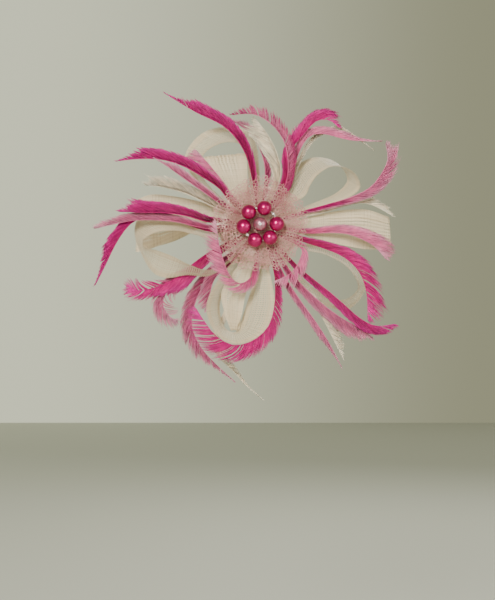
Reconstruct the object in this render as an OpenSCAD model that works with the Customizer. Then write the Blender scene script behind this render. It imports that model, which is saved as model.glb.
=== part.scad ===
// Fascinator headpiece: bound feathers and open-weave ribbon loops round a net
// rosette with a bead flower, on a covered disc with a sprung hair clip.
// +X is the wearer's side to side, +Z is up, -Y points away from the head.
// The origin is where the closed clip grips the hair, on the flower's own axis.

/* [Overall] */
// Width of the whole spray of loops and feathers, from tip to tip
spread = 170; // [150:1:205]
// How far the highest feather stands off the base
rise = 28; // [25:1:34]

/* [Base] */
// Diameter of the covered disc
base_d = 45; // [40:0.5:48]
// Thickness of the covered disc
base_t = 2; // [1.6:0.1:2.6]
// How far the edge binding wraps over each face of the disc
binding_lap = 1.5; // [1:0.1:2]
// Thickness of the edge binding's tape
binding_t = 0.3; // [0.2:0.05:0.5]
// Thickness of the felt under the disc
felt_t = 1.2; // [0.8:0.1:1.6]

/* [Clip] */
// Length of the clip's jaws, from hinge to tip
jaw_len = 40; // [32:1:46]
// Length of the clip's thumb tails, from hinge to end
tail_len = 12; // [10:0.5:15]
// Width of the clip's top arm
arm_w = 8; // [7:0.5:10]
// Thickness of the clip's sheet steel
sheet_t = 0.8; // [0.6:0.05:1]
// Gap between the two arms where hair is held
grip_gap = 4.6; // [3.6:0.1:5.2]
// Angle between the two tails when the clip is shut
tail_angle = 26; // [20:1:30]
// Diameter of the hinge pin
pin_d = 1.6; // [1.2:0.1:2]
// Clearance round the hinge pin in the arm that turns
pin_clearance = 0.05; // [0.02:0.01:0.08]
// Diameter of the spring's wire
spring_wire = 0.6; // [0.4:0.05:0.7]

/* [Flower] */
// Diameter of each pearl in the ring
pearl_d = 8.2; // [6.8:0.1:8.4]
// Diameter of the pearl in the middle
centre_pearl_d = 7.9; // [7:0.1:8.2]
// Diameter of the beading wire
wire_d = 0.5; // [0.4:0.05:0.8]
// Diameter of the two small spacer beads
spacer_d = 1.5; // [1.3:0.1:1.8]
// Diameter of the net rosette's back layer
net_d = 53; // [46:1:56]
// Thickness allowed for a layer of net
net_t = 0.5; // [0.4:0.1:0.8]

/* [Binding] */
// Diameter of the bound knot that gathers the ribbon ends
gather_d = 21; // [18:0.5:24]
// Height of that knot above the disc
gather_h = 8; // [7:0.5:9]
// Diameter of the thread binding round the feather stems
stem_binding_d = 17; // [14:0.5:18]
// Height of the thread binding
stem_binding_h = 5.6; // [5:0.1:6.7]

/* [Ribbon and feather] */
// Thickness of the stiffened ribbon
ribbon_t = 0.6; // [0.4:0.05:0.7]
// Thickness of a feather's blade
blade_t = 0.5; // [0.3:0.05:0.6]

/* [Hidden] */
$fn = 64;

// Colours
FUCHSIA = "#c42a74";
PINK = "#d583a8";
CREAM = "#e6dcc2";
IVORY = "#ddd0ae";
NET = "#d3b3a6";
PEARL = "#b0174f";
PALE_PEARL = "#a5707a";
STEEL = "#b9bbbd";
THREAD = "#efe8d6";

// Depths, all along Y. The base's front face is where "out" distances start.
arm_gap = grip_gap / 2;
felt_y = -arm_gap - sheet_t;
disc_y = felt_y - felt_t;
front_y = disc_y - base_t;
stem_top = gather_h + stem_binding_h;
net_gap = 1.4;
net_out = stem_top + net_gap;
layer_gap = 1.8;
net_r = net_d / 2;
net_front_step = 5;
net_front_r = net_r - net_front_step;
// From the rosette's middle to the pearls' backs, past the rise of the cupped net
pearl_gap = 2.2;
pearl_out = net_out + layer_gap + pearl_gap + pearl_d / 2;
// The pearls sit unevenly on their wire, and the spacer beads fill two of the gaps.
PEARL_ANGLES = [1, 75, 133, 188, 252, 306.5];
SPACER_ANGLES = [38, 220];
spacer_step = 31.6;
bead_gap = 0.08;
pearl_ring_r = (pearl_d / 2 + spacer_d / 2 + bead_gap) / (2 * sin(spacer_step / 2));

// The routes are drawn for a spray 170 mm wide that rises 28 mm. What lies below the
// net's rim stays at its own depth, and only what is above it follows the rise.
spread_k = spread / 170;
rim_out = 16;
rise_k = (rise - rim_out) / (28 - rim_out);
// Where a stem or a ribbon end starts, inside the knot that holds it
held = 1.6;
gather_r = gather_d / 2;
stem_r = stem_binding_d / 2;
low_out = 0.8;
raised_low_out = 2;
// The stems lie in three layers inside the thread binding
stem_step = stem_binding_h * 0.27;
back_out = gather_h + stem_binding_h * 0.22;
mid_out = back_out + stem_step;
top_out = mid_out + stem_step;
// A ribbon end is pinched to this band inside the gather
pinch_back = 2.6;
pinch_front = gather_h - 1;

// Smooth curve through points
function spline(a, b, c, d, t) =
    0.5 * (2 * b + (c - a) * t + (2 * a - 5 * b + 4 * c - d) * t * t
    + (3 * b - a - 3 * c + d) * t * t * t);
function smooth(p, n) = let (last = len(p) - 1) [
    for (i = [0 : last - 1]) for (j = [0 : n - 1])
        spline(p[max(i - 1, 0)], p[i], p[i + 1], p[min(i + 2, last)], j / n),
    p[last]
];
function unit(v) = v / norm(v);
function lifted(out) = out < rim_out ? out : rim_out + (out - rim_out) * rise_k;
// A route point [across, up, out] as a place in the part
function place(p) = [p[0] * spread_k, front_y - lifted(p[2]), p[1] * spread_k];
// A point inside a knot, at an angle round the flower's axis
function anchor(r, angle, out) = [r * cos(angle), front_y - out, r * sin(angle)];
function along(p, i) = unit(p[min(i + 1, len(p) - 1)] - p[max(i - 1, 0)]);

// A thin strip between two edges, which are lists of the same length
module strip(a, b, t) {
    last = len(a) - 1;
    across = [for (i = [0 : last]) unit(cross(along(a, i) + along(b, i), b[i] - a[i])) * t / 2];
    points = [for (i = [0 : last]) each [
        a[i] + across[i], b[i] + across[i], b[i] - across[i], a[i] - across[i]
    ]];
    sides = [for (i = [0 : last - 1]) for (k = [0 : 3]) let (
        p = 4 * i + k, q = 4 * i + (k + 1) % 4
    ) each [[p, q, q + 4], [p, q + 4, p + 4]]];
    ends = [[0, 2, 1], [0, 3, 2], [4 * last, 4 * last + 1, 4 * last + 2],
        [4 * last, 4 * last + 2, 4 * last + 3]];
    polyhedron(points, concat(sides, ends));
}

// A ribbon loop: [first angle, last angle, front edge, back edge]
module ribbon_loop(r, steps) {
    start = gather_r - held;
    front = concat([anchor(start, r[0], pinch_front)], [for (p = r[2]) place(p)],
        [anchor(start, r[1], pinch_front)]);
    back = concat([anchor(start, r[0], pinch_back)], [for (p = r[3]) place(p)],
        [anchor(start, r[1], pinch_back)]);
    color(IVORY) strip(smooth(front, steps), smooth(back, steps), ribbon_t);
}

// A feather: [angle, depth in its knot, knot radius, side of the barbs, four widths, quill]
module feather(f, shade) {
    quill = smooth(concat([anchor(f[2] - held, f[0], f[1])], [for (p = f[5]) place(p)]), 4);
    last = len(quill) - 1;
    widths = smooth(f[4], 8);
    function width(i) = lookup(i / last * 24, [for (j = [0 : 24]) [j, widths[j]]]);
    edge = [for (i = [0 : last]) let (d = along(quill, i), s = unit([-d[2], 0, d[0]]))
        quill[i] + f[3] * width(i) * s];
    color(shade) strip(quill, edge, blade_t);
}

LEFT = 1;
RIGHT = -1;

// Ribbon loops, edge points as [across, up, out]
loop_top_left_tall = [148, 97,
    [[-21, 15, 6], [-32, 27, 6], [-32, 38, 9], [-27, 43, 11], [-19, 46, 12], [-11, 45, 12],
        [-7, 39, 12], [-6, 26, 11]],
    [[-22, 13, 1.5], [-37, 27, 0], [-42, 38, -1], [-38, 47, -1], [-29, 54, -1], [-14, 56, -1],
        [-3, 49, -1], [0, 28, 1.5]]];
loop_top_left_front = [119, 110,
    [[-15, 16, 8], [-25, 27, 9], [-30, 35, 8], [-31, 38, 5.6], [-26, 34, 3.4], [-13, 18, 3.6]],
    [[-7, 17, 8], [-7, 28, 9.5], [-7.5, 37, 8], [-8, 40, 5.6], [-8, 35, 3.4], [-6, 18, 3.6]]];
loop_top_right = [72, 33,
    [[16, 12, 9], [24.5, 16, 14], [27.5, 22, 17], [32, 28, 18], [39, 32, 18], [47, 31.5, 17],
        [53.5, 27, 15], [55, 20, 11], [46, 14, 7], [30, 9, 6]],
    [[9, 18, 1.5], [14, 27, 0], [19, 33, -1], [25, 37, -1], [32, 39, -1], [41, 37, -1],
        [47, 32, -1], [49, 25, 0], [42, 18, 1], [28, 12, 1.5]]];
loop_left_front = [222, 187,
    [[-17, -19, 13], [-28, -25, 19], [-38, -22.5, 22], [-47, -18, 22], [-56, -14.5, 21],
        [-63.5, -12.5, 19], [-64, -8, 18], [-57, -4, 17], [-46, -3, 15], [-36, -5, 12],
        [-25, -7, 8]],
    [[-16, -19.5, 6], [-28, -28, 8], [-40, -27.5, 9], [-52, -29, 8], [-60, -25.5, 6],
        [-66, -16, 4], [-70, -5, 3], [-68, 4, 3], [-58, 7.5, 3.4], [-44, 6, 3.6], [-26, 0, 3.6]]];
loop_left_back = [172, 163,
    [[-24, 10, 4], [-38, 15, -0.5], [-58, 18, -1], [-67, 16, -2], [-70, 14, -4], [-66, 13, -6],
        [-48, 13, -6], [-34, 11, -3], [-24, 9, 1.4]],
    [[-25, 4.5, 3.4], [-38, -2, -0.5], [-57, -11, -1], [-67, -14, -2], [-70, -14, -4],
        [-66, -13, -6], [-48, -8, -6], [-34, -1, -3], [-24.5, 4.5, 1.2]]];
loop_bottom = [292, 245,
    [[5, -23, 9], [7, -34, 13], [8, -45, 17], [4, -57, 19], [-4, -63.5, 19], [-14, -65.5, 19],
        [-22, -62, 19], [-28, -53, 19], [-29, -42, 17], [-21, -27, 11]],
    [[1, -22, 4], [-4, -34, 3.4], [-8, -46, 3.2], [-10.5, -54, 3.2], [-12, -58, 3.4],
        [-15, -59.5, 4], [-19, -57.5, 4], [-22, -51, 4], [-22, -41, 4], [-15, -26, 4]]];
loop_bottom_inner = [270, 262,
    [[-12, -22, 8], [-21, -36, 10], [-20, -47, 9.5], [-17, -56, 8.5], [-16, -58.5, 7],
        [-16.5, -56, 5.6], [-17, -44, 5.6], [-9, -22, 4.8]],
    [[-4, -22, 8], [-8, -38, 10], [-10, -49, 9.5], [-12.5, -56, 8.5], [-12.5, -58.5, 7],
        [-11, -56, 5.6], [-9.5, -44, 5.6], [-3, -22, 4.8]]];
loop_lower_right = [326, 312,
    [[24, -13, 9], [36, -16, 14], [48, -23, 17], [54, -33, 17], [51, -39, 16], [44, -41.5, 15],
        [34, -38, 12], [22, -28, 9]],
    [[22, -9.5, 3], [36, -10, 1], [51, -16, -1], [60, -29, -1], [57, -40, -1], [48, -47, -1],
        [34, -43, 1], [19, -29, 3]]];
loop_right = [3, 354,
    [[24, 4, 8], [42, 8, 9], [58, 9, 8], [69, 6, 5], [72, 5, 2], [68, 6, -1], [50, 6, -2],
        [27, 3, 1.6]],
    [[24, -5, 8], [42, -10, 9], [58, -13, 8], [70, -13, 5], [73, -12, 2], [69, -11, -1],
        [50, -8, -2], [27, -3.5, 1.6]]];

// Feather quills, points as [across, up, out]
fuchsia_feather_top_left = [100, top_out, stem_r, RIGHT, [1.2, 5, 7, 1],
    [[-4.5, 27, 14], [-9, 41, 19], [-19, 53, 22], [-36, 62, 20], [-53, 73, 14]]];
fuchsia_feather_top_right = [60, mid_out, stem_r, LEFT, [1.2, 4, 6, 3],
    [[14.5, 25, 12], [16.5, 40, 15], [24, 50, 17], [31, 57, 18], [38, 57.5, 17], [43, 54, 15]]];
fuchsia_feather_right_arc = [340, top_out, stem_r, LEFT, [1.2, 5, 8, 9],
    [[24, -9, 13], [35.5, -13, 18], [46, -18, 22], [54, -26, 24], [58, -37, 23], [59, -52, 19]]];
fuchsia_feather_lower_right = [312, top_out, stem_r, RIGHT, [1.2, 3, 5, 4],
    [[20, -22, 13.5], [28, -29, 16], [38, -37, 19], [46, -44, 21], [54, -51, 22], [63, -55.5, 21],
        [74, -54.5, 18]]];
fuchsia_feather_bottom_hook = [286, top_out, stem_r, LEFT, [1.2, 4, 9, 9],
    [[7.5, -24, 13], [8.5, -33, 18], [8, -44, 22], [5, -55, 24], [-3, -63, 25], [-14, -66, 25],
        [-24, -61, 25], [-31, -52, 24], [-35.5, -45, 22]]];
fuchsia_feather_lower_left = [207, raised_low_out, gather_r, LEFT, [1.2, 8, 4, 7],
    [[-14, -7, 3.6], [-27, -14, 5], [-37, -21, 5.5], [-45, -28, 6.5], [-54, -33, 8],
        [-66, -36, 10], [-74, -34, 10]]];
fuchsia_feather_upper_left = [142, top_out, stem_r, RIGHT, [1.2, 5, 6, 2],
    [[-16.5, 13, 12.5], [-22, 20, 13.5], [-31, 26, 17], [-42, 32, 20], [-54, 35.5, 21],
        [-67, 36, 19], [-79, 35, 16]]];
fuchsia_feather_left = [172, top_out, stem_r, RIGHT, [1.2, 5, 7, 3],
    [[-26, 1.5, 13], [-32, 2.5, 15], [-40, 4.7, 18], [-52, 6.4, 21], [-65, 6.5, 22],
        [-77, 7, 20]]];
fuchsia_feather_left_droop = [186, back_out, stem_r, RIGHT, [1.2, 3, 6, 2],
    [[-26, -3.5, 11], [-45, 2, 14], [-60, 4.5, 14.5], [-68, 3, 14.5], [-74, -2, 14],
        [-80, -11, 13], [-86, -23, 11], [-91.5, -33, 8]]];

pink_feather_top_arch = [60, top_out, stem_r, RIGHT, [1.2, 4, 5, 3],
    [[14, 22, 13.5], [15, 38, 21], [10, 50, 26], [-2, 59, 28], [-16, 59, 27]]];
pink_feather_top_short = [87, back_out, stem_r, RIGHT, [1.2, 4, 4, 2],
    [[3, 27, 12], [1, 39, 15], [-5, 50, 16], [-15, 57, 16]]];
pink_feather_top_right_long = [54, back_out, stem_r, LEFT, [1.2, 3, 5, 1],
    [[17, 25, 10.6], [20.5, 38, 11.6], [26, 48, 14], [34, 50.5, 14.4], [50, 47, 13],
        [67, 46.5, 11]]];
pink_feather_top_right_short = [49, mid_out, stem_r, LEFT, [1.2, 2, 4, 2],
    [[16.5, 20.5, 12], [19.5, 36, 13.2], [19.2, 48, 13], [23.5, 56, 11.6]]];
pink_feather_right_raised = [18, top_out, stem_r, RIGHT, [1.2, 2.5, 6, 5],
    [[25, 8, 13], [35, 10.5, 17], [50, 15, 21], [60, 20, 22], [66.5, 28, 21], [70, 36, 19],
        [69, 44, 17]]];
pink_feather_right = [353, mid_out, stem_r, LEFT, [1.2, 4, 8, 5],
    [[25, -4.2, 12.5], [40, -4.2, 17], [49, -5.4, 20], [58, -9, 20], [64, -13, 18],
        [69, -18.5, 15]]];
pink_feather_lower_right = [303, mid_out, stem_r, RIGHT, [1.2, 4, 7, 3],
    [[17, -26, 13], [26, -36, 15], [36, -45, 17], [46, -52, 18], [56, -57.5, 18],
        [62, -62, 16]]];
pink_feather_down_right = [294, back_out, stem_r, RIGHT, [1.2, 3, 3.5, 1.5],
    [[14, -29, 13], [21, -40, 15], [31, -54, 16], [38, -65, 15], [45, -78, 12]]];
pink_feather_front_hook = [261, mid_out, stem_r, LEFT, [1.2, 5, 7, 4],
    [[-4, -26, 12.5], [-6, -30, 16], [-11, -32.5, 20], [-16, -29, 24], [-20, -20, 27],
        [-23, -8, 28], [-24, 1.5, 27]]];
pink_feather_lower_left = [216, low_out, gather_r, RIGHT, [1.2, 3, 6, 6],
    [[-12, -9, 2], [-32, -22, 3.2], [-46, -30, 4], [-52, -37, 6], [-54, -44, 7],
        [-50, -50.5, 7], [-46, -53, 6]]];
pink_feather_bottom_long = [229, low_out, gather_r, RIGHT, [1.2, 7, 8, 3],
    [[-10, -12, 1.2], [-22, -22, 1], [-31, -32, 0.5], [-37, -45, 0], [-38, -57, -0.5],
        [-33, -68, -0.5], [-26, -76, -0.5], [-14, -87, -0.5]]];
pink_feather_bottom_short = [238, raised_low_out, gather_r, RIGHT, [1.2, 5, 6, 2],
    [[-8, -12.5, 2.4], [-17, -22, 3], [-25, -29, 3.8], [-28, -38, 3.6], [-30, -48, 3.2]]];
pink_feather_upper_left = [152, mid_out, stem_r, RIGHT, [1.2, 3, 4, 1],
    [[-20, 10.5, 13], [-28, 16, 17], [-40, 24, 22], [-50, 31, 25], [-58, 36, 25]]];
pink_feather_upper_left_broad = [132, back_out, stem_r, LEFT, [1.2, 3, 6, 6],
    [[-15, 16, 11.5], [-19, 22, 12.5], [-27, 32, 14.5], [-35, 41, 16]]];
pink_feather_left = [180, mid_out, stem_r, RIGHT, [1.2, 3.5, 4, 5],
    [[-26, -2, 12.5], [-34, -1, 14.5], [-46, 1.7, 17], [-58, 2.6, 18], [-70, 2.3, 18],
        [-82, 0, 16], [-91, -2, 14]]];
pink_feather_under_net = [325, mid_out, stem_r, LEFT, [1.2, 3, 7, 3],
    [[22, -12, 14.3], [22, -19, 15.5], [17, -26.5, 18.5], [8, -31, 21.5]]];

cream_feather_top = [73, mid_out, stem_r, LEFT, [1.2, 7, 8, 2],
    [[11, 26, 13.5], [9.5, 38, 19], [4, 49, 22.5], [-3, 58, 23]]];
cream_feather_top_right = [45, back_out, stem_r, RIGHT, [1.2, 2, 3, 1],
    [[15.5, 19, 9.6], [20, 34, 9], [29, 49, 9.5], [42, 55, 11], [52, 50, 11], [63, 42, 9]]];
cream_feather_right = [10, back_out, stem_r, LEFT, [1.2, 3, 4, 2],
    [[25, 5, 11.5], [33, 6.5, 13], [49, 11, 16], [58, 12, 16.5], [66, 9, 15.5], [73, 5, 14]]];
cream_feather_down_right = [300, back_out, stem_r, LEFT, [1.2, 4, 5, 2],
    [[18, -32, 12], [30, -44, 13], [37, -56, 14], [46, -74, 12]]];
cream_feather_bottom_long = [252, low_out, gather_r, LEFT, [1.2, 3, 4, 1],
    [[-5, -14, 1.4], [-12, -30, 1], [-20, -48, 0.5], [-26, -62, 0], [-24, -72, 0], [-14, -82, 0],
        [-8, -89, 0], [2, -97.5, -1]]];
cream_feather_left = [160, back_out, stem_r, RIGHT, [1.2, 5, 6, 3],
    [[-25, 10, 11.5], [-40, 17, 14], [-52, 20.5, 15], [-63, 22, 14]]];

// Base --------------------------------------------------------------------

// Turns a shape drawn with its height along Z so that it stands off the base along -Y
module outward(y) {
    translate([0, y, 0]) rotate([90, 0, 0]) children();
}

module base_disc() {
    color(CREAM) outward(disc_y) cylinder(d = base_d, h = base_t);
}

module base_edge_binding() {
    r = base_d / 2;
    color(IVORY) outward(disc_y) rotate_extrude() difference() {
        translate([r - binding_lap, -binding_t])
            square([binding_lap + binding_t, base_t + 2 * binding_t]);
        translate([r - binding_lap, 0]) square([binding_lap, base_t]);
    }
}

module felt_backing() {
    gap = 0.4;
    color(CREAM) outward(felt_y) cylinder(d = base_d - 2 * binding_lap - 2 * gap, h = felt_t);
}

// Hair clip ---------------------------------------------------------------

// The hinge stands off to one side so that the grip lies on the flower's axis.
hinge_share = 0.35;
hinge_x = jaw_len * hinge_share;
hinge_y = 0.4;
tip_x = hinge_x - jaw_len;
ear_r = 2.2;
ear_gap = 0.2;
tip_gap = 0.1;
lip_w = arm_w - 2;
lower_w = arm_w - 2 * sheet_t - 2 * ear_gap;
coil_play = 0.15;
coil_r = pin_d / 2 + coil_play + spring_wire;
coil_len = lower_w - 2 * sheet_t - 2 * ear_gap;

// One ear of an arm: a rounded lug round the hinge pin that reaches to the arm's plate
module ear(z, from_y, hole) {
    difference() {
        union() {
            translate([hinge_x, hinge_y, z]) cylinder(r = ear_r, h = sheet_t);
            translate([hinge_x - ear_r, min(from_y, hinge_y), z])
                cube([2 * ear_r, abs(from_y - hinge_y), sheet_t]);
        }
        translate([hinge_x, hinge_y, z - 1]) cylinder(d = hole, h = sheet_t + 2);
    }
}

module clip_top_arm() {
    plate_y = -arm_gap - sheet_t;
    color(STEEL) union() {
        translate([tip_x, plate_y, -arm_w / 2]) cube([jaw_len + tail_len, sheet_t, arm_w]);
        translate([tip_x, -arm_gap, -lip_w / 2]) cube([sheet_t, arm_gap - tip_gap, lip_w]);
        for (z = [-arm_w / 2, arm_w / 2 - sheet_t]) ear(z, -arm_gap, pin_d);
    }
}

module clip_lower_arm() {
    color(STEEL) union() {
        translate([tip_x, arm_gap, -lower_w / 2]) cube([jaw_len + ear_r, sheet_t, lower_w]);
        translate([tip_x, 0, -lip_w / 2]) cube([sheet_t, arm_gap, lip_w]);
        for (z = [-lower_w / 2, lower_w / 2 - sheet_t])
            ear(z, arm_gap, pin_d + 2 * pin_clearance);
        translate([hinge_x + ear_r, arm_gap, 0]) rotate([0, 0, tail_angle])
            translate([-sheet_t / 2, 0, -lower_w / 2])
                cube([tail_len - ear_r, sheet_t, lower_w]);
    }
}

module clip_hinge_pin() {
    head_r = pin_d * 0.8;
    head_t = 0.5; // thickness of each riveted head
    color(STEEL) translate([hinge_x, hinge_y, -arm_w / 2]) union() {
        cylinder(d = pin_d, h = arm_w);
        translate([0, 0, -head_t]) cylinder(r = head_r, h = head_t);
        translate([0, 0, arm_w]) cylinder(r = head_r, h = head_t);
    }
}

module clip_spring() {
    short_of_end = 4;
    leg = tail_len - short_of_end;
    color(STEEL) union() {
        translate([hinge_x, hinge_y, -coil_len / 2]) difference() {
            cylinder(r = coil_r, h = coil_len);
            translate([0, 0, -1]) cylinder(r = coil_r - spring_wire, h = coil_len + 2);
        }
        translate([hinge_x, -arm_gap, -coil_len / 2])
            cube([leg, spring_wire, spring_wire]);
        translate([hinge_x - spring_wire / 2, -arm_gap, -coil_len / 2])
            cube([spring_wire, hinge_y + arm_gap - coil_r + spring_wire / 2, spring_wire]);
    }
}

module clip_stitches() {
    thread = 0.4;
    pitch = 9;
    middle_x = tip_x + 18;
    color(THREAD) for (i = [-1 : 1]) translate([middle_x + i * pitch, 0, 0])
        difference() {
            translate([0, felt_y, -arm_w / 2 - thread])
                cube([2 * thread, sheet_t + thread, arm_w + 2 * thread]);
            translate([-1, felt_y - 1, -arm_w / 2]) cube([3, sheet_t + 1, arm_w]);
        }
}

// Knots -------------------------------------------------------------------

module ribbon_gather() {
    color(IVORY) outward(front_y) cylinder(d = gather_d, h = gather_h);
}

module stem_binding() {
    color(THREAD) outward(front_y - gather_h) cylinder(d = stem_binding_d, h = stem_binding_h);
}

// Net rosette -------------------------------------------------------------

// A cupped, ruffled ring of net: r0 to r1, at this distance out, with this many ruffles
module net_layer(r0, r1, out, ruffles, turn) {
    rings = 5;
    around = 72;
    cup = 2.5; // how far the rim stands forward of the middle
    ripple = 1.1; // height of each ruffle at the rim
    function lift(u, a) = out + u * u * cup + u * ripple * sin(ruffles * a + turn);
    function reach(u, a) = r0 + (r1 * (0.98 + 0.02 * sin(5 * a + 2 * turn)) - r0) * u;
    function spot(i, j, t) = let (u = i / rings, a = j * 360 / around)
        [reach(u, a) * cos(a), front_y - lift(u, a) - t, reach(u, a) * sin(a)];
    layer = (rings + 1) * around;
    points = [for (t = [0, net_t]) for (i = [0 : rings]) for (j = [0 : around - 1]) spot(i, j, t)];
    function id(i, j, side) = side * layer + i * around + j % around;
    faces = concat(
        [for (i = [0 : rings - 1]) for (j = [0 : around - 1]) each [
            [id(i, j, 0), id(i + 1, j, 0), id(i + 1, j + 1, 0)],
            [id(i, j, 0), id(i + 1, j + 1, 0), id(i, j + 1, 0)],
            [id(i, j, 1), id(i + 1, j + 1, 1), id(i + 1, j, 1)],
            [id(i, j, 1), id(i, j + 1, 1), id(i + 1, j + 1, 1)]]],
        [for (j = [0 : around - 1]) each [
            [id(0, j, 0), id(0, j + 1, 0), id(0, j + 1, 1)],
            [id(0, j, 0), id(0, j + 1, 1), id(0, j, 1)],
            [id(rings, j, 0), id(rings, j + 1, 1), id(rings, j + 1, 0)],
            [id(rings, j, 0), id(rings, j, 1), id(rings, j + 1, 1)]]]);
    color(NET) polyhedron(points, faces);
}

net_hole_r = 3;

module net_back_layer() {
    net_layer(net_hole_r, net_r, net_out, 11, 0);
}

module net_front_layer() {
    net_layer(net_hole_r, net_front_r, net_out + layer_gap, 9, 40);
}

// Bead flower -------------------------------------------------------------

bore_gap = 0.1;

// The ring of beading wire on which the pearls are threaded, as thick as d
module wire_ring(d) {
    outward(front_y - pearl_out) rotate_extrude() translate([pearl_ring_r, 0]) circle(d = d);
}

module pearl_ring() {
    color(PEARL) difference() {
        for (a = PEARL_ANGLES) rotate([0, -a, 0])
            translate([pearl_ring_r, front_y - pearl_out, 0]) sphere(d = pearl_d);
        wire_ring(wire_d + 2 * bore_gap);
    }
}

module centre_pearl() {
    color(PALE_PEARL) difference() {
        translate([0, front_y - pearl_out, 0]) sphere(d = centre_pearl_d);
        outward(front_y - pearl_out + centre_pearl_d)
            cylinder(d = wire_d + 2 * bore_gap, h = 2 * centre_pearl_d);
    }
}

module pearl_wire() {
    color(STEEL) wire_ring(wire_d);
}

module centre_pin() {
    head_t = 0.4;
    length = pearl_out - stem_top + centre_pearl_d / 2;
    color(STEEL) outward(front_y - stem_top) union() {
        cylinder(d = wire_d, h = length + head_t);
        translate([0, 0, length]) cylinder(d = 3 * wire_d, h = head_t);
    }
}

module spacer_beads() {
    color("white") for (a = SPACER_ANGLES) rotate([0, -a, 0])
        translate([pearl_ring_r, front_y - pearl_out, 0]) difference() {
            sphere(d = spacer_d);
            translate([0, 0, -spacer_d]) cylinder(d = wire_d + 4 * bore_gap, h = 2 * spacer_d);
        }
}

base_disc();
base_edge_binding();
felt_backing();
clip_top_arm();
clip_lower_arm();
clip_hinge_pin();
clip_spring();
clip_stitches();
ribbon_gather();
stem_binding();
net_back_layer();
net_front_layer();
pearl_ring();
centre_pearl();
pearl_wire();
centre_pin();
spacer_beads();
ribbon_loop(loop_top_left_tall, 4);
ribbon_loop(loop_top_left_front, 5);
ribbon_loop(loop_top_right, 4);
ribbon_loop(loop_left_front, 4);
ribbon_loop(loop_left_back, 5);
ribbon_loop(loop_bottom, 4);
ribbon_loop(loop_bottom_inner, 5);
ribbon_loop(loop_lower_right, 4);
ribbon_loop(loop_right, 5);
feather(fuchsia_feather_top_left, FUCHSIA);
feather(fuchsia_feather_top_right, FUCHSIA);
feather(fuchsia_feather_right_arc, FUCHSIA);
feather(fuchsia_feather_lower_right, FUCHSIA);
feather(fuchsia_feather_bottom_hook, FUCHSIA);
feather(fuchsia_feather_lower_left, FUCHSIA);
feather(fuchsia_feather_upper_left, FUCHSIA);
feather(fuchsia_feather_left, FUCHSIA);
feather(fuchsia_feather_left_droop, FUCHSIA);
feather(pink_feather_top_arch, PINK);
feather(pink_feather_top_short, PINK);
feather(pink_feather_top_right_long, PINK);
feather(pink_feather_top_right_short, PINK);
feather(pink_feather_right_raised, PINK);
feather(pink_feather_right, PINK);
feather(pink_feather_lower_right, PINK);
feather(pink_feather_down_right, PINK);
feather(pink_feather_front_hook, PINK);
feather(pink_feather_lower_left, PINK);
feather(pink_feather_bottom_long, PINK);
feather(pink_feather_bottom_short, PINK);
feather(pink_feather_upper_left, PINK);
feather(pink_feather_upper_left_broad, PINK);
feather(pink_feather_left, PINK);
feather(pink_feather_under_net, PINK);
feather(cream_feather_top, CREAM);
feather(cream_feather_top_right, CREAM);
feather(cream_feather_right, CREAM);
feather(cream_feather_down_right, CREAM);
feather(cream_feather_bottom_long, CREAM);
feather(cream_feather_left, CREAM);
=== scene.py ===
# %% [markdown]
# # A fascinator headpiece
#
# A fascinator is built from the back forward: a hair clip, a small covered disc, loops of
# stiff open-weave ribbon, a spray of dyed feathers, a rosette of net and a flower of pearls.
# This lesson makes each of them as the milliner does, so that the threads, the barbs and the
# meshes of the net are all real geometry. Positions are worked out in millimetres, because
# that is how millinery is measured, and go to metres when a piece is finished.

import math

import bmesh
import bpy
import numpy as np
from mathutils import Matrix, Vector


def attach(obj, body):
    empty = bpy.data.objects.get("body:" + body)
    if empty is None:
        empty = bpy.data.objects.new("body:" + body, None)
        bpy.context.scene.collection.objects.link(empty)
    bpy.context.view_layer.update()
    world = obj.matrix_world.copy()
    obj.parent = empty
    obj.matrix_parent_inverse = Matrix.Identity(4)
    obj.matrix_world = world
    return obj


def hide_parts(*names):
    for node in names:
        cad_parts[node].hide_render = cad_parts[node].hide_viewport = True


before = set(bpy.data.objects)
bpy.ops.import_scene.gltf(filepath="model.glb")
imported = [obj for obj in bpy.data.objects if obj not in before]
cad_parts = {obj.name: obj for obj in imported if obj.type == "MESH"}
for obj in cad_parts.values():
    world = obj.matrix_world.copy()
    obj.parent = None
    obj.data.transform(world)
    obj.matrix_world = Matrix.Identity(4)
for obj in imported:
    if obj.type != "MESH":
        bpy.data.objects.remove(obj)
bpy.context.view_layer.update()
MM = 0.001
TIP_FORWARD = Matrix.Rotation(math.radians(90), 3, "X")

# %% [markdown]
# ## Camera, light and backdrop
#
# The headpiece is looked at straight on, from a little below the flower's middle and from far
# enough that the feathers in front aren't enlarged. A long lens at 0.8 m does that. The light
# is a large soft window high on the left, a weaker one on the right to open the shadows, and
# a pale room all round.

# %% Camera
CAMERA_AT = Vector((-6.9, -822.0, -41.3)) * MM
VIEW_HEIGHT = 330.0 * MM
VIEWED_FROM = 0.8
SENSOR = 36.0

camera_data = bpy.data.cameras.new("front_camera")
camera_data.sensor_width = SENSOR
camera_data.lens = SENSOR * VIEWED_FROM / VIEW_HEIGHT
camera_data.clip_start = 0.01
camera = bpy.data.objects.new("front_camera", camera_data)
camera.location = CAMERA_AT
camera.rotation_euler = (math.radians(90), 0, 0)
bpy.context.scene.collection.objects.link(camera)
bpy.context.scene.camera = camera
print("lens", round(camera_data.lens, 1), "mm")


# %% Lights and world
def soft_light(name, place, size, watts, colour):
    """A square light that faces the headpiece."""
    data = bpy.data.lights.new(name, "AREA")
    data.size = size
    data.energy = watts
    data.color = colour
    lamp = bpy.data.objects.new(name, data)
    lamp.location = place
    lamp.rotation_euler = (-Vector(place)).to_track_quat("-Z", "Y").to_euler()
    bpy.context.scene.collection.objects.link(lamp)


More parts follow.
